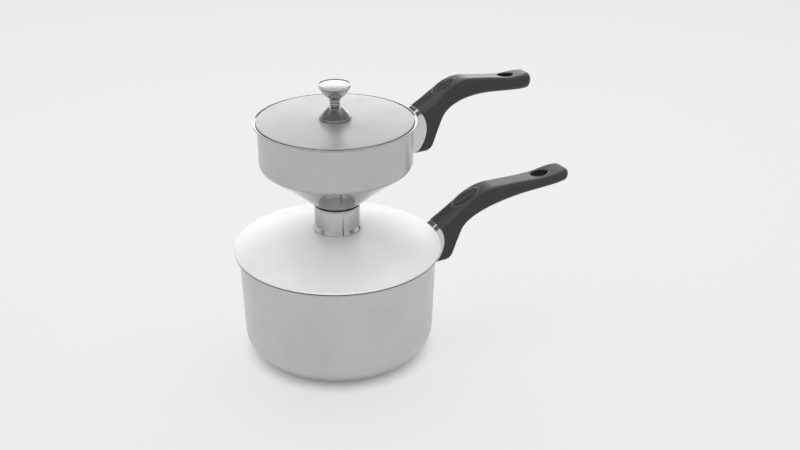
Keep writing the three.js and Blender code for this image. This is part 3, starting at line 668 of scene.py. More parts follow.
grip_plastic, moulding, moulded = new_finish("grip_plastic")
moulded["IOR"].default_value = GRIP_IOR
grain = node(moulding, "TexNoise", Vector=on_piece(moulding), Scale=GRAIN_SCALE, Detail=3.0, Roughness=0.6)
grain = grain.outputs["Fac"]
marks = node(moulding, "Group", {"node_tree": handling}, Patches=40.0, Smears=300.0).outputs["Mask"]
# The mask of wear and painted sheen, with the painted highlight on the thumb's rim, read from the mesh.
wear_and_sheen = node(moulding, "Attribute", {"attribute_name": "wear_and_sheen"}).outputs["Fac"]
cloudy = mixed(moulding, marks, GRIP_DARK, GRIP_CLOUDED)
wear_and_sheen_share = math_node(moulding, "MULTIPLY", wear_and_sheen, WEAR_AND_SHEEN_MOST)
put(moulding, moulded["Base Color"], mixed(moulding, wear_and_sheen_share, cloudy, GRIP_WEAR_AND_SHEEN))
skin = spread(moulding, grain, *NOISE_RANGE, *GRIP_ROUGHNESS)
smoother = math_node(moulding, "MULTIPLY", wear_and_sheen, WORN_SMOOTHER)
put(moulding, moulded["Roughness"], math_node(moulding, "ADD", skin, smoother))
put(moulding, moulded["Normal"], relief(moulding, grain, GRAIN_DEPTH))
print("grain: about", round(1 / GRAIN_SCALE / MM, 2), "mm")

# %% [markdown]
# ## Pot
# The pot is deep-drawn from one round blank: a flat base, a round corner, a wall that opens by a couple of
# millimetres, and a lip rolled outwards. A cylinder with bevels would come close, but an outline of two
# straights and two arcs has the very corner and lip of the real one.

# %% The pot
POT_LIP = 4.0
POT_CORNER = 25.5
POT_TAPER = 2.1
BASE_STEPS = 12
POT_CORNER_STEPS = 30
POT_WALL_STEPS = 24
LIP_STEPS = 12
pot_high = corners("pot_shell")[1]
pot_radius = pot_high[0] - POT_LIP
pot_lip_start = pot_high[2] - SHEET - POT_LIP
pot_turn = pot_radius - POT_TAPER - POT_CORNER
pot_path = joined(
    straight((0, 0), (pot_turn, 0), BASE_STEPS),
    bow((pot_turn, POT_CORNER), POT_CORNER, -90, 0, POT_CORNER_STEPS),
    straight((pot_turn + POT_CORNER, POT_CORNER), (pot_radius, pot_lip_start), POT_WALL_STEPS),
    bow((pot_radius + POT_LIP, pot_lip_start), POT_LIP, 180, 90, LIP_STEPS),
)
pot = mesh_object("pot_body", *turned(thickened(pot_path, SHEET), WIDE_SIDES))
finish_piece(pot, wall_steel, "satin_steel", "pot", "pot_shell")

# %% [markdown]
# ## Lids
# Both lids are shallow domes with a folded edge and a ring that drops into the pan. The lower one has the
# collar in its middle, and the upper one the knob's screw. The dome could be a slice of a sphere. A crown
# that falls with the square of the radius looks the same on so flat a lid, and it takes the rise and the
# edge as they are measured.

# %% The two lids
LID_SHEET = 0.8
SKIRT_ROUND = 0.3
UNDER_POINTS = 40
OVER_POINTS = 60
FOLD_STEPS = 14


def lid_outline(node_name, hem, rise, ring_depth, ring_inset, hole):
    """A lid's closed outline: under the dome, round the ring, round the folded edge, and back over the dome.
    The dome's height at radius r is crown - rise (r / edge) squared."""
    low, high = corners(node_name)
    edge = high[0] - hem / 2
    ring = high[0] - ring_inset
    seat = low[2] + ring_depth
    crown = seat + hem + rise
    radius = np.linspace(hole, ring - LID_SHEET, UNDER_POINTS)
    under = np.stack([radius, crown - rise * (radius / edge) ** 2 - LID_SHEET], axis=1)
    skirt = [
        (*under[-1], 0),
        (ring - LID_SHEET, low[2], SKIRT_ROUND),
        (ring, low[2], SKIRT_ROUND),
        (ring, seat, SKIRT_ROUND),
        (edge, seat, 0),
    ]
    fold = bow((edge, seat + hem / 2), hem / 2, -90, 90, FOLD_STEPS)
    radius = np.linspace(edge, hole, OVER_POINTS)
    over = np.stack([radius, crown - rise * (radius / edge) ** 2], axis=1)
    return joined(under, softened(skirt, closed=False), fold, over)


lid_line = lid_outline("steam_lid_dome", hem=2.4, rise=17.9, ring_depth=6.0, ring_inset=6.35, hole=21.4)
steam_lid = mesh_object("steam_lid", *turned(lid_line, WIDE_SIDES))
finish_piece(steam_lid, lid_steel, "satin_steel", "steam_lid", "steam_lid_dome")
cover_line = lid_outline("cover_dome", hem=1.4, rise=1.8, ring_depth=4.0, ring_inset=2.5, hole=2.3)
cover = mesh_object("cover", *turned(cover_line, WIDE_SIDES))
finish_piece(cover, cover_steel, "satin_steel", "cover", "cover_dome")

# %% [markdown]
# ## Heat tint
# Welding leaves a dark tint on the steel. It could be a second material on a strip of faces, but that would
# end in a hard line. A number on each point fades it out, and one more mix in the finish reads that number.

# %% A tint for welds
HEAT_TINT = (0.03, 0.028, 0.026, 1)


def heat_tinted(finish, attribute):
    """Darkens a finish towards the tint of heated steel, by a number that the mesh carries at each point."""
    tree = finish.node_tree
    colour = tree.nodes["Principled BSDF"].inputs["Base Color"]
    clean = colour.links[0].from_socket
    heated = node(tree, "Attribute", {"attribute_name": attribute}).outputs["Fac"]
    put(tree, colour, mixed(tree, heated, clean, HEAT_TINT))


heat_tinted(collar_steel, "weld")
print("tint: read from the collar's weld")

# %% [markdown]
# ## Collar
# The collar is a strip rolled into a tube and welded along one line, with a flared foot and a beaded rim.
# The weld is ground flush outside, but it still shows as a fine hollow line on the lower half. It could
# be a dark stripe in the finish alone. It is also a real groove in the points, so it catches the light
# from any side.

# %% The collar's outline
COLLAR_HEIGHT = 24.5
COLLAR_WALL = 1.0
COLLAR_SWAGE = 3.0
FOOT_FLARE = 1.4
FOOT_UPRIGHT = 0.9
FOOT_HEIGHT = 4.3
BEAD_START = 2.0
BEAD_CREST = 1.0
BEAD_OUT = 0.6
BEAD_TOP_OUT = 0.3
collar_low, collar_high = corners("chimney_collar")
tube = collar_high[0] - COLLAR_SWAGE
swage_foot = collar_low[2]
collar_top = collar_high[2]
collar_foot = collar_top - COLLAR_HEIGHT
bore = tube - COLLAR_WALL
# Each row is a corner: its radius, its height and its round.
collar_outline = softened([
    (bore, swage_foot, 0.3),
    (tube + COLLAR_SWAGE, swage_foot, 0.3),
    (tube + COLLAR_SWAGE, swage_foot + SHEET, 0.3),
    (tube, swage_foot + SHEET, 0.2),
    (tube, collar_foot, 0.1),
    (tube + FOOT_FLARE, collar_foot, 0.2),
    (tube + FOOT_FLARE, collar_foot + FOOT_UPRIGHT, 0.5),
    (tube, collar_foot + FOOT_HEIGHT, 0.5),
    (tube, collar_top - BEAD_START, 0.6),
    (tube + BEAD_OUT, collar_top - BEAD_CREST, 0.7),
    (tube + BEAD_TOP_OUT, collar_top, 0.35),
    (bore, collar_top, 0.35),
])
print("collar:", len(collar_outline), "points in its outline")

# %% The collar and its weld
COLLAR_SIDES = 480
WELD_BEARING = math.radians(-101)
WELD_WIDTH = 0.55
WELD_DEPTH = 0.6
WELD_TOP = 6.0
WELD_FADE = 8.0
collar_points, collar_faces = turned(collar_outline, COLLAR_SIDES)
reach = np.hypot(collar_points[:, 0], collar_points[:, 1])
bearing = np.arctan2(collar_points[:, 1], collar_points[:, 0]) - WELD_BEARING
off_line = tube * np.abs((bearing + np.pi) % (2 * np.pi) - np.pi)
outside = reach > bore + COLLAR_WALL / 2
share = np.clip((collar_top - WELD_TOP - collar_points[:, 2]) / WELD_FADE, 0, 1) * outside
weld_line = np.exp(-((off_line / WELD_WIDTH) ** 2)) * share
collar_points[:, :2] *= (1 - WELD_DEPTH * weld_line / reach)[:, None]
collar = mesh_object("collar", collar_points, collar_faces)
weld = collar.data.attributes.new("weld", "FLOAT", "POINT")
weld.data.foreach_set("value", weld_line.astype(np.float32))
finish_piece(collar, collar_steel, "mirror_steel", "steam_lid", "chimney_collar")

# %% [markdown]
# ## Steamer pan
# The pan's outline runs from the mouth up the cone, round a tight corner, up the wall and out over the
# rim. Cone, wall and rim could be three pieces, but they are drawn from one sheet, so one outline carries
# them and the bright line at the corner runs through unbroken.

# %% The pan
CONE_STEPS = 30
PAN_CORNER_STEPS = 20
PAN_WALL_STEPS = 16
pan_turn = pan_radius - PAN_CORNER
cone_end = np.array([pan_turn + PAN_CORNER * math.sin(PAN_SLOPE), pan_crease])
mouth = np.array([cone_end[0] - (cone_end[1] - pan_low[2]) / math.tan(PAN_SLOPE), pan_low[2]])
pan_path = joined(
    straight(mouth, cone_end, CONE_STEPS),
    bow((pan_turn, pan_wall_foot), PAN_CORNER, math.degrees(PAN_SLOPE) - 90, 0, PAN_CORNER_STEPS),
    straight((pan_radius, pan_wall_foot), (pan_radius, pan_lip_start), PAN_WALL_STEPS),
    bow((pan_radius + PAN_LIP, pan_lip_start), PAN_LIP, 180, 90, LIP_STEPS),
)
pan = mesh_object("steamer_pan", *turned(thickened(pan_path, SHEET), WIDE_SIDES))
finish_piece(pan, pan_steel, "satin_steel", "steamer", "steamer_shell")

# %% [markdown]
# ## Spout
# The spout is a short tube through the pan's mouth that plugs into the collar. It hangs by a flange on the
# inside of the cone. It could be drawn from the pan's own sheet, but such pans have it as a second piece,
# and the seam between them shows from above.

# %% The spout
SPOUT_FLANGE = 5.5
GAP = 0.3
spout_low, spout_high = corners("steamer_spout")
spout_edge = spout_high[0]
spout_radius = spout_edge - SPOUT_FLANGE
spout_bore = spout_radius - LID_SHEET
steep = math.tan(PAN_SLOPE)
slant = 1 / math.cos(PAN_SLOPE)
flange_foot = mouth[1] + (np.array([spout_radius, spout_edge]) - mouth[0]) * steep + (SHEET + GAP) * slant
flange_head = flange_foot + LID_SHEET * slant
spout_outline = softened([
    (spout_bore, spout_low[2], 0.3),
    (spout_radius, spout_low[2], 0.3),
    (spout_radius, flange_foot[0], 0.5),
    (spout_edge, flange_foot[1], 0.3),
    (spout_edge, flange_head[1], 0.3),
    (spout_bore, flange_head[0] - LID_SHEET * steep, 1.0),
])
spout = mesh_object("spout", *turned(spout_outline, NARROW_SIDES))
finish_piece(spout, mirror_steel, "mirror_steel", "steamer", "steamer_spout")

# %% [markdown]
# ## Knob
# A bell with its mouth down and a cup with its mouth up stand either side of a turned spacer. Both are
# pressed from sheet. A cone with a bevel would look stiff beside the real ones, so the side is a Bezier
# curve that leaves the flat middle and ends at a short upright edge.

# %% The knob's bell and cup
BELL_NECK = (6.4, 0.0)
BELL_SHOULDER = (10.9, 3.8)
CUP_NECK = (4.7, 0.0)
CUP_SHOULDER = (9.5, 2.2)
KNOB_EDGE = 1.5
KNOB_HOLE = 2.3
PRESSED_STEPS = 28
FLAT_STEPS = 4


def pressing(neck, shoulder, radius, height):
    """A pressing's outer face, as radius and depth from its small end: a flat, a Bezier side, an edge."""
    side = bezier([neck, shoulder, (radius, height - KNOB_EDGE)], PRESSED_STEPS)
    flat = straight((KNOB_HOLE, 0), neck, FLAT_STEPS)
    return joined(flat, side, straight(side[-1], (radius, height), FLAT_STEPS))


bell_low, bell_high = corners("knob_base")
bell_path = pressing(BELL_NECK, BELL_SHOULDER, bell_high[0], bell_high[2] - bell_low[2])
bell_path = bell_path * (1, -1) + (0, bell_high[2])
bell = mesh_object("knob_bell", *turned(thickened(bell_path[::-1], LID_SHEET), NARROW_SIDES))
finish_piece(bell, bell_steel, "mirror_steel", "cover", "knob_base")
cup_low, cup_high = corners("knob_cup")
cup_path = pressing(CUP_NECK, CUP_SHOULDER, cup_high[0], cup_high[2] - cup_low[2]) + (0, cup_low[2])
cup = mesh_object("knob_bowl", *turned(thickened(cup_path, LID_SHEET), NARROW_SIDES))
finish_piece(cup, knob_steel, "mirror_steel", "cover", "knob_cup")

# %% [markdown]
# ## Spacer and cap
# The spacer between bell and cup is turned from bar, with a round bead and a ring, and a domed cap closes
# the cup. Each could be built from cylinders and rings that overlap, but one outline for each leaves no
# hidden faces inside.

# %% The knob's spacer
SPACER_NECK_HEIGHT = 1.7
SPACER_RING_HEIGHT = 1.8
BEAD_REACH = 1.0
BEAD_HALF = 1.2
BEAD_POINTS = 19
spacer_low, spacer_high = corners("knob_spacer")
ring_radius = spacer_high[0]
neck = ring_radius - BEAD_REACH
bead_middle = spacer_low[2] + SPACER_NECK_HEIGHT + BEAD_HALF
ring_foot = spacer_high[2] - SPACER_RING_HEIGHT
bead_angle = np.radians(np.linspace(-90, 90, BEAD_POINTS))
bead_reach = neck + BEAD_REACH * np.cos(bead_angle)
bead = np.stack([bead_reach, bead_middle + BEAD_HALF * np.sin(bead_angle)], axis=1)
spacer_foot = softened([
    (KNOB_HOLE, spacer_low[2], 0),
    (neck, spacer_low[2], 0.15),
    (*bead[0], 0),
], closed=False)
spacer_head = softened([
    (*bead[-1], 0),
    (neck, ring_foot, 0.2),
    (ring_radius, ring_foot, 0.35),
    (ring_radius, spacer_high[2], 0.35),
    (KNOB_HOLE, spacer_high[2], 0),
], closed=False)
spacer = mesh_object("knob_collar", *turned(joined(spacer_foot, bead, spacer_head), NARROW_SIDES))
finish_piece(spacer, knob_steel, "mirror_steel", "cover", "knob_spacer")

# %% The knob's cap
CAP_EXTRA = 0.2
CAP_CROWN = 0.3
CAP_EDGE = 0.4
CAP_POINTS = 20
cap_low, cap_high = corners("knob_cap")
cap_radius = cap_high[0] + CAP_EXTRA
cap_edge = cap_low[2] + LID_SHEET + CAP_EXTRA
dome = np.linspace(cap_radius - CAP_EDGE, 0, CAP_POINTS)
cap_top = cap_edge + CAP_CROWN * (1 - (dome / cap_radius) ** 2)
cap_side = softened([
    (0, cap_low[2], 0),
    (cap_radius, cap_low[2], 0.2),
    (cap_radius, cap_edge, 0.3),
    (dome[0], cap_top[0], 0),
], closed=False)
cap = mesh_object("knob_lid", *turned(joined(cap_side, np.stack([dome, cap_top], axis=1)), NARROW_SIDES))
finish_piece(cap, knob_steel, "mirror_steel", "cover", "knob_cap")

# %% [markdown]
# ## Handles
# A grip rises from the pan at a slope, bends, and runs out level to a flat paddle with a hole to hang it
# by. It could be modelled from a box with Subdivision Surface, but then no length is a number any more.
# Here its side view is two lines, the top and the underside, and a rounded section is stretched between
# them. Both handles share every line, and differ in the sizes below.

# %% Sizes of the two handles
# Lengths run out from the wall, and heights from a level just above the top of the root, in millimetres.
# Slopes are in degrees.
POT_HANDLE = {
    "reach": 164.8, "rise": 28.2, "slope": -1.0, "ease": 15.5, "lift": 4.4, "lift_start": 123.4,
    "foot_drop": 40.2, "foot_depth": 24.8, "knee": 109.4, "foot_pull": 13.5, "run_pull": 50.0,
    "thickness": 14.0, "under_slope": 5.9, "waist": 104.8, "waist_width": 20.2,
    "paddle": 144.8, "paddle_width": 24.0, "hole": 134.3, "hole_size": (19.5, 14.0),
    "thumb_size": (31.0, 17.0), "thumb_back": 14.3, "lip_edge": -2.6, "lip_flare": 4.0, "clear": 5.35,
}
STEAMER_HANDLE = {
    "reach": 134.8, "rise": 23.2, "slope": -7.5, "ease": 13.0, "lift": 3.9, "lift_start": 103.5,
    "foot_drop": 42.4, "foot_depth": 22.3, "knee": 86.7, "foot_pull": 11.0, "run_pull": 38.0,
    "thickness": 15.0, "under_slope": -1.6, "waist": 83.8, "waist_width": 16.0,
    "paddle": 116.8, "paddle_width": 20.4, "hole": 109.2, "hole_size": (16.5, 11.5),
    "thumb_size": (24.5, 15.0), "thumb_back": 11.2, "lip_edge": 0.0, "lip_flare": 3.6, "clear": 4.2,
}
print("handles reach", POT_HANDLE["reach"], "and", STEAMER_HANDLE["reach"], "mm from their walls")

# %% [markdown]
# ## The side view's straights
# The top climbs from the root as a straight ramp and goes on as a run that is nearly level. The underside
# of the run has a slope of its own and sags a little. Points read off a picture could be joined up, but a
# few straights and easings are smooth by themselves.

# %% The ramp, the run and the underside
ROOT_TOP = -1.4
RAMP = math.tan(math.radians(29.4))
RAMP_FOOT = 9.0
UNDER_BOW = 1.0


def eased(x, low, high):
    """Zero below low, one above high, and three t squared less two t cubed between them."""
    t = np.clip((x - low) / (high - low), 0, 1)
    return t * t * (3 - 2 * t)


def ramp(x):
    """The sloping top of the root, at a distance from the wall."""
    return np.stack([x, ROOT_TOP + (np.asarray(x) - RAMP_FOOT) * RAMP], axis=-1)


def bend_point(h):
    """Where the ramp's line meets the run's."""
    return np.array([RAMP_FOOT + (h["rise"] - ROOT_TOP) / RAMP, h["rise"]])


def level_line(h, x):
    """The height of the level part's straight line, before the tip lifts it."""
    return h["rise"] + (x - bend_point(h)[0]) * math.tan(math.radians(h["slope"]))


def run(h, x):
    """The top of the level part, which lifts a little towards the tip."""
    lift = h["lift"] * eased(x, h["lift_start"], h["reach"])
    return np.stack([x, level_line(h, x) + lift], axis=-1)


def underside(h, x):
    """The underside of the level part: from the thickness below the run at the end of the knee, a line with
    its own slope, less a bow that grows with the square of the distance."""
    past = x - h["knee"]
    bow_down = UNDER_BOW * (np.maximum(past, 0) / (h["reach"] - h["knee"])) ** 2
    start = level_line(h, h["knee"]) - h["thickness"]
    return np.stack([x, start + past * math.tan(math.radians(h["under_slope"])) - bow_down], axis=-1)


print("bend of the pot's handle at", bend_point(POT_HANDLE).round(1))

# %% [markdown]
# ## The plan view, and the joint with the guard
# From above, a grip narrows to a waist and widens to a paddle with round corners. At its root it meets a
# metal guard along an arc. The arc could be cut with a Boolean, but when the grid itself starts on the arc,
# guard and grip share one clean line.

# %% Widths, even spacing and the joint's arc
ROOT_WIDTH = 22.0
PADDLE_ROUND = 6.5
JOINT_ARC = 30.0
JOINT_DEPTH = 18.0
JOINT_RISE = 2.2
JOINT_POINTS = 60


def plan_half(h, x):
    """Half the plan width: eased from the root to the waist and out to the paddle, less a quarter circle
    at the end."""
    waist = (h["waist_width"] - ROOT_WIDTH) * eased(x, h["foot_depth"], h["waist"])
    paddle = (h["paddle_width"] - h["waist_width"]) * eased(x, h["waist"], h["paddle"])
    past = np.clip(x - h["reach"] + PADDLE_ROUND, 0, PADDLE_ROUND)
    return (ROOT_WIDTH + waist + paddle) / 2 - PADDLE_ROUND + np.sqrt(PADDLE_ROUND**2 - past**2)


def evenly(line, count):
    """A line's points spaced evenly: each coordinate is read off against the running length."""
    length = np.append(0, np.cumsum(np.linalg.norm(np.diff(line, axis=0), axis=1)))
    at = np.linspace(0, length[-1], count)
    return np.stack([np.interp(at, length, line[:, 0]), np.interp(at, length, line[:, 1])], axis=1)


def joint_line(h, radius):
    """The joint between guard and grip in the side view: an arc from the foot's bottom to the ramp. It meets
    the ramp where the ramp's line, put into the circle's equation, gives a quadratic for the distance."""
    centre = np.array([JOINT_DEPTH - JOINT_ARC, (ROOT_TOP - h["foot_drop"]) / 2 + JOINT_RISE])
    base = ROOT_TOP - RAMP_FOOT * RAMP - centre[1]
    a = 1 + RAMP**2
    b = RAMP * base - centre[0]
    c = centre[0] ** 2 + base**2 - radius**2
    top = ramp((-b + math.sqrt(b**2 - a * c)) / a) - centre
    foot = np.array([0, -h["foot_drop"]]) - centre
    start = math.degrees(math.asin(foot[1] / radius))
    end = math.degrees(math.atan2(top[1], top[0]))
    return bow(centre, radius, start, end, JOINT_POINTS - 1)


print("joint of the pot's handle ends at", joint_line(POT_HANDLE, JOINT_ARC)[-1].round(1))

# %% [markdown]
# ## Stations along a grip
# A row of stations pairs a point on the underside with a point on the top, as ribs do in a boat's hull.
# Equal steps along X would crowd where the foot is steep. So both lines are cut at the same three places,
# and each length is spaced evenly on both.

# %% Rows of stations
FOOT_LEAN = math.radians(22.5)
FOOT_FACE = 28.5
FOOT_ROUND = 5.0
TIP_TOP_ROUND = 4.8
TIP_LOW_ROUND = 6.8
FOOT_STEPS = 24
KNEE_STEPS = 80
CROWN_STEPS = 60
LEVEL_POINTS = 30
PADDLE_POINTS = 60
TIP_STEPS = 30
STATIONS = (130, 90, 130, 26)


def grip_lines(h):
    """The underside and the top of a grip as two lines with as many points. They are cut at the middle of
    the bend, the end of the knee and the start of the tip, and each length is spaced evenly on both."""
    bend = bend_point(h)
    ease = h["ease"]
    joint = joint_line(h, JOINT_ARC + GAP)
    lean = np.array([math.sin(FOOT_LEAN), math.cos(FOOT_LEAN)])
    foot = np.array([h["foot_depth"], -h["foot_drop"]])
    face_top = foot + lean * FOOT_FACE
    foot_round = bezier([foot - (FOOT_ROUND, 0), foot, foot + lean * FOOT_ROUND], FOOT_STEPS)
    knee_pull = underside(h, h["knee"] - h["run_pull"])
    knee = [face_top, face_top + lean * h["foot_pull"], knee_pull, underside(h, h["knee"])]
    knee = bezier(knee, KNEE_STEPS)
    crown = bezier([ramp(bend[0] - ease), bend, run(h, bend[0] + ease)], CROWN_STEPS)
    level = run(h, np.linspace(bend[0] + ease, h["knee"], LEVEL_POINTS))
    low_paddle = underside(h, np.linspace(h["knee"], h["reach"] - TIP_LOW_ROUND, PADDLE_POINTS))
    top_paddle = run(h, np.linspace(h["knee"], h["reach"] - TIP_TOP_ROUND, PADDLE_POINTS))
    low_tip = bow(low_paddle[-1] + (0, TIP_LOW_ROUND), TIP_LOW_ROUND, -90, 0, TIP_STEPS)
    top_tip = bow(top_paddle[-1] - (0, TIP_TOP_ROUND), TIP_TOP_ROUND, 90, 0, TIP_STEPS)
    mid_knee = KNEE_STEPS // 2
    mid_crown = CROWN_STEPS // 2
    low = [joined(joint[:1], foot_round, knee[: mid_knee + 1]), knee[mid_knee:], low_paddle, low_tip]
    climb = joined(joint[-1:], crown[: mid_crown + 1])
    top = [climb, joined(crown[mid_crown:], level), top_paddle, top_tip]
    low = joined(*(evenly(line, count) for line, count in zip(low, STATIONS)))
    top = joined(*(evenly(line, count) for line, count in zip(top, STATIONS)))
    return low, top


print("stations of a grip:", len(grip_lines(POT_HANDLE)[0]))

# %% [markdown]
# ## A rounded section
# Cut across anywhere, a grip is a rectangle with four round corners, whose size and rounds change along it.
# Drawing each section would take a list of outlines. One section in plain shares, of the flat, of the
# corner's round and of the height, fits them all, and the sizes come in when it is stretched.

# %% The section
FLAT_POINTS = 26
QUARTER_POINTS = 10
SIDE_POINTS = 16
SAME_SHARE = 1e-9


def whole_section():
    """A rounded section from the middle of its top all the way round: one half, and its mirror image back up
    the other side. For each point it gives how far it lies across the flat, from 0 to -1 or 1, the outward
    direction of its rounding as two numbers, and its share of the way from the bottom (0) to the top (1)."""
    quarter = np.radians(np.linspace(0, 90, QUARTER_POINTS))
    flat = np.linspace(0, -1, FLAT_POINTS)
    side = np.linspace(1, 0, SIDE_POINTS)
    back = flat[::-2]
    top = [flat, 0 * flat, 0 * flat + 1, 0 * flat + 1]
    corner = [0 * quarter - 1, -np.sin(quarter), np.cos(quarter), 0 * quarter + 1]
    wall = [0 * side - 1, 0 * side - 1, 0 * side, side]
    heel = [0 * quarter - 1, -np.cos(quarter), -np.sin(quarter), 0 * quarter]
    base = [back, 0 * back, 0 * back - 1, 0 * back]
    half = np.concatenate([np.stack(part, axis=1) for part in (top, corner, wall, heel, base)])
    step = np.abs(np.diff(half, axis=0)).sum(axis=1)
    half = half[np.append(True, step > SAME_SHARE)]
    mirrored = half[-2:0:-1] * (-1, -1, 1, 1)
    return np.concatenate([half, mirrored])


print("section:", len(whole_section()), "points round")

# %% [markdown]
# ## Stretching the section
# Now every station gets its section, between its point below and its point above. A Skin modifier or a
# lofting add-on could do it, but neither keeps the rounds at their true size while the height changes. The
# arithmetic does, and it lets the first row bow out to follow the guard's arc.

# %% A section stretched between two lines
ROUND_LIMIT = 0.46
BOW_PARTS = 3


def bowing(line):
    """How far each point of a line lies off the chord between its ends, with an even row of shares."""
    even = np.linspace(0, 1, len(line))
    return line - (line[:1] + (line[-1:] - line[:1]) * even[:, None]), even


def stretched(low, top, start, top_round, low_round, half_width):
    """A grid of points whose rows are rounded sections between paired points of two lines. Each point lies
    at a share s of the way up, at low (1 - s) + top s. The first row is bowed to follow the start line, and
    the bow fades over the first third. Across, a point lies at its share of the half width less the round,
    and then out by the round's own reach."""
    across, out_y, out_z, share = whole_section().T
    rows = len(low)
    tall = np.linalg.norm(top - low, axis=1)[:, None]
    middle = (low + top) / 2
    limit = ROUND_LIMIT * np.minimum(tall, 2 * half_width(middle[:, :1]))
    top_round = np.minimum(top_round[:, None], limit)
    low_round = np.minimum(low_round[:, None], limit)
    corner = share * top_round + (1 - share) * low_round
    up = share * (tall - top_round) + (1 - share) * low_round + out_z * corner
    s = up / tall
    flat = low[:, None] * (1 - s[..., None]) + top[:, None] * s[..., None]
    bowed, even = bowing(start)
    bow_x = np.interp(s[0], even, bowed[:, 0])
    bow_z = np.interp(s[0], even, bowed[:, 1])
    fade = np.clip(1 - np.arange(rows) / (rows / BOW_PARTS), 0, 1)[:, None] ** 2
    x = flat[..., 0] + fade * bow_x
    z = flat[..., 1] + fade * bow_z
    y = across * (half_width(x) - corner) + out_y * corner
    return np.stack([x, y, z], axis=-1)


def ends(columns, rows):
    """Faces across the two ends of a stretched grid: each joins a step of one half section to its mirror."""
    step = np.arange(columns // 2)
    mirror = (columns - step) % columns
    first = np.stack([step + 1, step, mirror, columns - step - 1], axis=1)
    last = first[:, ::-1] + (rows - 1) * columns
    return [list(dict.fromkeys(face)) for face in first.tolist() + last.tolist()]


print("stretched: rows of sections between two lines")

# %% [markdown]
# ## Holes
# The hanging hole and the screw's holes go straight through the grip, across the rows of its grid. The grid
# could be bent round them, but the faces would be pulled out of shape. Boolean modifiers cut them cleanly,
# and are applied at once, so that the piece is a plain mesh again.

# %% Cutting holes
def drilled(made, *cutters):
    """Cuts closed shapes out of a piece with Boolean modifiers, applies them and removes the cutters."""
    tools = [mesh_object("cutter", points, faces) for points, faces in cutters]
    for tool in tools:
        cut = made.modifiers.new("cut", "BOOLEAN")
        cut.operation = "DIFFERENCE"
        cut.solver = "MANIFOLD"
        cut.object = tool
    depsgraph = bpy.context.evaluated_depsgraph_get()
    mesh = bpy.data.meshes.new_from_object(made.evaluated_get(depsgraph))
    made.modifiers.clear()
    made.data = mesh
    for tool in tools:
        bpy.data.objects.remove(tool)


def along_x(shape, place):
    """A turned shape laid along +X at a place: its height becomes the distance out."""
    points, faces = shape
    return points[:, [2, 0, 1]] + place, faces


def plug(radius, low, high, sides):
    """A plain round cutter about +Z."""
    return turned(np.array([(0, low), (radius, low), (radius, high), (0, high)], float), sides)


print("cutters: drilled, along_x, plug")

# %% [markdown]
# ## The grip's shape
# The long edges are soft at the root, crisp on the run and blunt at the tip. The thumb's hollow on the
# bend has a fine raised rim, and the hanging hole's rims are rounded. Sculpting could press them in by
# hand. Here they are heights taken off the grid's top and base, so both handles get the same hollow in
# their own size.

# %% The edges and the thumb's hollow
ROOT_ROUND = 5.5
RUN_ROUND = 2.4
FOOT_EDGE_ROUND = 5.0
UNDER_ROUND = 3.4
TIP_EDGE_ROUND = 5.5
TIP_EASE = 16.0
THUMB_DEPTH = 3.0
THUMB_LIP = 0.45
THUMB_LIP_WIDTH = 0.7
# Painted highlight on the hollow's rim: how strong it is, and how wide.
RIM_HIGHLIGHT = 0.8
RIM_HIGHLIGHT_WIDTH = 0.9


def edge_rounds(h, x):
    """The rounds of the top and low edges at each station, eased from root to run and from run to tip."""
    crisp = eased(x, JOINT_DEPTH, bend_point(h)[0])
    blunt = eased(x, h["reach"] - TIP_EASE, h["reach"])
    top_round = ROOT_ROUND + (RUN_ROUND - ROOT_ROUND) * crisp
    low_round = FOOT_EDGE_ROUND + (UNDER_ROUND - FOOT_EDGE_ROUND) * crisp
    top_round = top_round + (TIP_EDGE_ROUND - top_round) * blunt
    low_round = low_round + (TIP_EDGE_ROUND - low_round) * blunt
    return top_round, low_round


def thumb_hollow(h, grid, top):
    """How deep the thumb's hollow is at each point, less its raised rim, and how strong the painted
    highlight on that rim is. The hollow is half an ellipsoid below a chord of the top line, and the rim a
    bell curve across its edge."""
    long_half = h["thumb_size"][0] / 2 * math.cos(math.atan(RAMP))
    wide_half = h["thumb_size"][1] / 2
    middle = bend_point(h)[0] - h["thumb_back"]
    ends_x = [middle - long_half, middle + long_half]
    chord = np.interp(grid[..., 0], ends_x, np.interp(ends_x, top[:, 0], top[:, 1]))
    oval = ((grid[..., 0] - middle) / long_half) ** 2 + (grid[..., 1] / wide_half) ** 2
    bowl = chord - THUMB_DEPTH * np.sqrt(np.clip(1 - oval, 0, 1))
    depth = np.where(oval < 1, np.maximum(grid[..., 2] - bowl, 0), 0)
    from_rim = (np.sqrt(oval) - 1) * wide_half
    lip = THUMB_LIP * np.exp(-((from_rim / THUMB_LIP_WIDTH) ** 2))
    # The second number is the painted highlight along the rim.
    return depth - lip, RIM_HIGHLIGHT * np.exp(-((from_rim / RIM_HIGHLIGHT_WIDTH) ** 2))


print("hollow:", THUMB_DEPTH, "mm below its chord, with a rim of", THUMB_LIP, "mm")

# %% The surface of a grip
RIM_ROUND = 1.5
RIM_CUT = 0.5
FACES_UP = 0.5


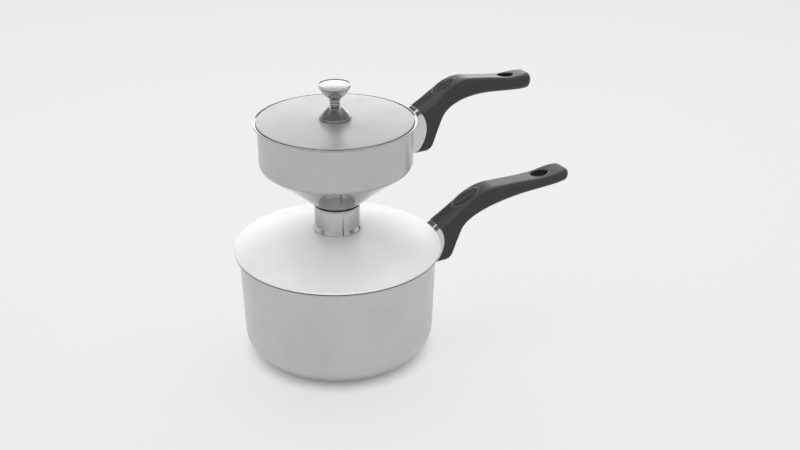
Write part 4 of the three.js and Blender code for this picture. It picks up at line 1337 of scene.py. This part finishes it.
def grip_surface(h):
    """A grip's grid in its own place, with the thumb's hollow pressed into its top and the hole's rims
    rounded. A rim falls as a quarter circle does towards the hole, which cuts it before it is upright."""
    low, top = grip_lines(h)
    start = joint_line(h, JOINT_ARC + GAP)
    grid = stretched(low, top, start, *edge_rounds(h, top[:, 0]), lambda at: plan_half(h, at))
    section = whole_section()
    on_top = (section[:, 3] == 1) & (section[:, 2] > FACES_UP)
    on_base = (section[:, 3] == 0) & (section[:, 2] < -FACES_UP)
    hollow, rim_highlight = thumb_hollow(h, grid, top)
    hole_long, hole_wide = np.array(h["hole_size"]) / 2
    out = np.hypot((grid[..., 0] - h["hole"]) / hole_long, grid[..., 1] / hole_wide) - 1
    beyond = np.clip(out * (hole_long + hole_wide) / 2 + RIM_CUT, RIM_CUT, RIM_ROUND)
    rim = RIM_ROUND - np.sqrt(RIM_ROUND**2 - (RIM_ROUND - beyond) ** 2)
    grid[..., 2] += rim * on_base - (hollow + rim) * on_top
    return grid, section, rim_highlight * on_top


print("grip grid:", grip_surface(POT_HANDLE)[0].shape[:2], "stations and points round")

# %% [markdown]
# ## Grips
# Each grip is closed at both ends, marked with its wear and painted sheen, and drilled: the oval hanging
# hole, and a counterbored hole for the screw that holds it. The marks could be painted as vertex colours
# by hand. They follow from the section instead, so they sit on the very edges and top that a hand meets
# and that catch the light.

# %% The two grips
# Shares of wear and painted sheen on the long edges and on the top.
EDGE_WEAR_AND_SHEEN = 0.45
TOP_WEAR_AND_SHEEN = 0.75
SCREW_SEAT = 6.0
HOLE_SIDES = 96
COUNTERBORE = 5.1
COUNTERBORE_SIDES = 64
SHANK_HOLE = 2.9
SHANK_HOLE_SIDES = 48
CUT_PAST = 1.0
CUT_BELOW = 30.0
CUT_BEYOND = 60.0


def grip_piece(name, h, wall, body, node_name, screw_node):
    """A grip in place: its grid, closed ends, the hanging hole and the counterbored hole for its screw. Its
    wear and painted sheen is the largest of three: on the rounded edges, on the top past the bend, and the
    painted highlight on the hollow's rim."""
    grid, section, rim_highlight = grip_surface(h)
    rows, columns = grid.shape[:2]
    faces = woven(rows, columns, False).tolist() + ends(columns, rows)
    made = mesh_object(name, grid.reshape(-1, 3) + wall, faces)
    bend = bend_point(h)[0]
    # Paler edges and top are partly wear and partly painted sheen. The rim adds its painted highlight.
    edge = EDGE_WEAR_AND_SHEEN * np.abs(section[:, 1] * section[:, 2]) * 2
    top_wear_sheen_share = TOP_WEAR_AND_SHEEN * eased(grid[..., 0], bend - h["ease"], bend + h["ease"])
    top_wear_sheen_share = top_wear_sheen_share * np.maximum(section[:, 2], 0)
    wear_and_sheen_values = np.maximum(np.maximum(edge, top_wear_sheen_share), rim_highlight)
    wear_and_sheen = made.data.attributes.new("wear_and_sheen", "FLOAT", "POINT")
    wear_and_sheen.data.foreach_set("value", wear_and_sheen_values.ravel().astype(np.float32))
    screw_low, screw_high = corners(screw_node)
    axis = (0, 0, (screw_low[2] + screw_high[2]) / 2)
    seat = wall[0] + JOINT_DEPTH + GAP + SCREW_SEAT
    hole_points, hole_faces = plug(1.0, -CUT_BELOW, CUT_BEYOND, HOLE_SIDES)
    hole_points = hole_points * (*np.array(h["hole_size"]) / 2, 1) + wall + (h["hole"], 0, 0)
    counterbore = along_x(plug(COUNTERBORE, seat, seat + CUT_BEYOND, COUNTERBORE_SIDES), axis)
    shank = along_x(plug(SHANK_HOLE, wall[0], seat + CUT_PAST, SHANK_HOLE_SIDES), axis)
    drilled(made, (hole_points, hole_faces), counterbore, shank)
    finish_piece(made, grip_plastic, "grip_plastic", body, node_name)


pot_wall = np.array([pot_radius, 0, pot_lip_start + POT_LIP - POT_HANDLE["lip_edge"]])
pan_wall = np.array([pan_radius, 0, pan_lip_start + PAN_LIP - STEAMER_HANDLE["lip_edge"]])
grip_piece("pot_handle_grip", POT_HANDLE, pot_wall, "pot", "pot_grip", "pot_screw")
grip_piece("pan_handle_grip", STEAMER_HANDLE, pan_wall, "steamer", "steamer_grip", "steamer_screw")

# %% [markdown]
# ## Guards
# Between wall and grip sits a guard of bright sheet, pressed to the grip's section, which keeps the
# plastic off the hot pan. It is open at both ends, so the stretched grid is left open. An inner grid
# could be added, but a Solidify modifier gives it the sheet's thickness inwards in one step. Its inner
# edge follows the pan's round wall and ducks under the rolled rim.

# %% The guards
GUARD_SHEET = 1.2
GUARD_ROWS = 48


def guard_surface(h, wall_radius):
    """A guard's grid in its own place. Its lines run from the wall to the joint, along the foot and ramp.
    The first row is then moved in by the wall's own curve: the radius less the root of its square less y
    squared."""
    joint = joint_line(h, JOINT_ARC)
    lip_foot = h["lip_edge"] - h["lip_flare"] - GAP
    pitch = (h["clear"] - GAP) / h["lip_flare"]
    ramp_base = ROOT_TOP - RAMP_FOOT * RAMP
    top_x = (GAP + pitch * (ramp_base - lip_foot)) / (1 - pitch * RAMP)
    wall_line = evenly(np.array([(GAP, -h["foot_drop"]), (GAP, lip_foot), ramp(top_x)]), JOINT_POINTS)
    low = np.linspace(wall_line[0], joint[0], GUARD_ROWS)
    top = np.linspace(wall_line[-1], joint[-1], GUARD_ROWS)
    top_round = np.full(GUARD_ROWS, ROOT_ROUND)
    low_round = np.full(GUARD_ROWS, FOOT_EDGE_ROUND)
    grid = stretched(low, top, wall_line, top_round, low_round, lambda at: plan_half(h, at))
    share = np.linspace(0, 1, GUARD_ROWS)[:, None]
    up = np.clip((grid[..., 2] - low[:, None, 1]) / (top[:, None, 1] - low[:, None, 1]), 0, 1)
    bowed, even = bowing(joint)
    swell = np.interp(up, even, bowed[:, 0])
    inset = wall_radius - np.sqrt(wall_radius**2 - grid[..., 1] ** 2)
    grid[..., 0] += share**2 * swell - (1 - share) * inset
    return grid


def guard_piece(name, h, wall, body, node_name):
    """A guard in place, thickened inwards to the sheet."""
    grid = guard_surface(h, wall[0])
    rows, columns = grid.shape[:2]
    made = mesh_object(name, grid.reshape(-1, 3) + wall, woven(rows, columns, False).tolist())
    finish_piece(made, mirror_steel, "mirror_steel", body, node_name)
    sheet = made.modifiers.new("sheet", "SOLIDIFY")
    sheet.thickness = GUARD_SHEET * MM
    sheet.offset = -1.0


guard_piece("pot_handle_guard", POT_HANDLE, pot_wall, "pot", "pot_ferrule")
guard_piece("pan_handle_guard", STEAMER_HANDLE, pan_wall, "steamer", "steamer_ferrule")

# %% [markdown]
# ## Screws and washers
# One slotted screw pulls each grip onto a bracket inside the guard. A thread could be wound round its
# shank, but the screw sits deep in its hole, where none would show. So it is a turned outline with
# rounded edges and a cut slot.

# %% A slot's cutter and a washer
SCREW_SIDES = 64
BORE_ROUND = 0.15
WASHER_ROUND = 0.2


def box_cutter(low, high):
    """A box between two corners: the eight corners are the choices of low or high for each axis."""
    pick = np.array(np.meshgrid([0, 1], [0, 1], [0, 1], indexing="ij")).reshape(3, -1).T
    points = np.where(pick, high, low)
    faces = [(0, 1, 3, 2), (4, 6, 7, 5), (0, 4, 5, 1), (2, 3, 7, 6), (0, 2, 6, 4), (1, 5, 7, 3)]
    return points, faces


def washer_shape(bore, rim, low, high):
    """A flat ring with rounded edges between two heights."""
    ring = softened([
        (bore, low, BORE_ROUND),
        (rim, low, WASHER_ROUND),
        (rim, high, WASHER_ROUND),
        (bore, high, BORE_ROUND),
    ])
    return turned(ring, SCREW_SIDES)


print("screws and washers have", SCREW_SIDES, "sides")

# %% The handles' screws and washers
SLOT_WIDTH = 1.0
SLOT_DEPTH = 1.2
SCREW_SHANK = 2.5
SCREW_HEAD_HEIGHT = 3.0
WASHER_BORE = 2.8


def handle_screw(name, body, screw_node, washer_node):
    """A slotted screw along +X and the washer under its head."""
    low, high = corners(screw_node)
    head = (high[2] - low[2]) / 2
    axis = (0, 0, (low[2] + high[2]) / 2)
    head_foot = high[0] - SCREW_HEAD_HEIGHT
    outline = softened([
        (0, low[0], 0),
        (SCREW_SHANK, low[0], 0.5),
        (SCREW_SHANK, head_foot, 0.2),
        (head, head_foot, 0.3),
        (head, high[0], 0.9),
        (0, high[0], 0),
    ], closed=False)
    screw = mesh_object(name + "_screw", *along_x(turned(outline, SCREW_SIDES), axis))
    slot_low = (high[0] - SLOT_DEPTH, -2 * head, axis[2] - SLOT_WIDTH / 2)
    slot_high = (high[0] + SLOT_DEPTH, 2 * head, axis[2] + SLOT_WIDTH / 2)
    drilled(screw, box_cutter(slot_low, slot_high))
    finish_piece(screw, plain_steel, "plain_steel", body, screw_node)
    low, high = corners(washer_node)
    ring = washer_shape(WASHER_BORE, (high[2] - low[2]) / 2, low[0], high[0])
    washer = mesh_object(name + "_washer", *along_x(ring, axis))
    finish_piece(washer, plain_steel, "plain_steel", body, washer_node)


handle_screw("pot_handle", "pot", "pot_screw", "pot_washer")
handle_screw("pan_handle", "steamer", "steamer_screw", "steamer_washer")

# %% [markdown]
# ## Inside the knob
# A third screw comes up through the cover and holds the knob together. The brackets and the knob's nut
# can't be seen from outside. They could be made anew too, but those CAD nodes are right as they are and
# only get a better finish.

# %% The knob's screw and washer, and what stays from the frame
KNOB_SHANK = 2.0
KNOB_HEAD_HEIGHT = 1.6
KNOB_HEAD_TAPER = 0.8
KNOB_SLOT_SHARE = 0.7
low, high = corners("knob_screw")
head = high[0]
head_top = low[2] + KNOB_HEAD_HEIGHT
knob_screw_outline = softened([
    (0, low[2], 0),
    (head - KNOB_HEAD_TAPER, low[2], 0.4),
    (head, head_top, 0.2),
    (KNOB_SHANK, head_top, 0.1),
    (KNOB_SHANK, high[2], 0.4),
    (0, high[2], 0),
], closed=False)
knob_screw = mesh_object("knob_fixing", *turned(knob_screw_outline, SCREW_SIDES))
slot_low = (-2 * head, -SLOT_WIDTH / 2, low[2] - SLOT_DEPTH)
slot_high = (2 * head, SLOT_WIDTH / 2, low[2] + SLOT_DEPTH * KNOB_SLOT_SHARE)
drilled(knob_screw, box_cutter(slot_low, slot_high))
finish_piece(knob_screw, plain_steel, "plain_steel", "cover", "knob_screw")
low, high = corners("knob_washer")
knob_washer = mesh_object("knob_fixing_washer", *washer_shape(KNOB_HOLE, high[0], low[2], high[2]))
finish_piece(knob_washer, plain_steel, "plain_steel", "cover", "knob_washer")

for name in ("pot_bracket", "steamer_bracket", "knob_nut"):
    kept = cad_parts[name]
    kept.data.materials.clear()
    kept.data.materials.append(plain_steel)
    print(name, "stays, with a new finish")

# %% [markdown]
# ## Grid
# The couscous lies on a loose perforated plate at the top of the cone. Its holes lie on rings a pitch
# apart, six more on each ring than on the last. An Array modifier could repeat one drill round each ring.
# One array of points holds every drill instead, and a single Boolean cuts them all.

# %% The grid
GRID_PITCH = 12.5
GRID_RINGS = 4
GRID_STEP = 6
GRID_HOLE = 2.2
GRID_HOLE_SIDES = 24
GRID_ROUND = 0.4


def copied(shape, spots):
    """A shape at many spots, as one: its points plus each spot, its faces counted on from copy to copy."""
    points, faces = shape
    first = np.arange(len(spots))[:, None, None] * len(points)
    every = []
    for corner_count in (3, 4):
        alike = np.array([face for face in faces if len(face) == corner_count])
        every += (alike + first).reshape(-1, corner_count).tolist()
    return (spots[:, None] + points).reshape(-1, 3), every


grid_low, grid_high = corners("steam_grid")
grid_outline = softened([
    (0, grid_low[2], 0),
    (grid_high[0], grid_low[2], GRID_ROUND),
    (grid_high[0], grid_high[2], GRID_ROUND),
    (0, grid_high[2], 0),
], closed=False)
plate = mesh_object("grid_plate", *turned(grid_outline, WIDE_SIDES))
ring_numbers = np.arange(1, GRID_RINGS + 1)
ring = np.repeat(ring_numbers, GRID_STEP * ring_numbers)
order = np.arange(len(ring)) - GRID_STEP * ring * (ring - 1) // 2
angle = 2 * np.pi * order / (GRID_STEP * ring)
spots = np.stack([np.cos(angle), np.sin(angle), 0 * angle], axis=1) * (ring * GRID_PITCH)[:, None]
drill = plug(GRID_HOLE, grid_low[2] - CUT_PAST, grid_high[2] + CUT_PAST, GRID_HOLE_SIDES)
drilled(plate, copied(drill, spots))
finish_piece(plate, wall_steel, "satin_steel", "grid", "steam_grid")
print("grid:", len(spots), "holes")
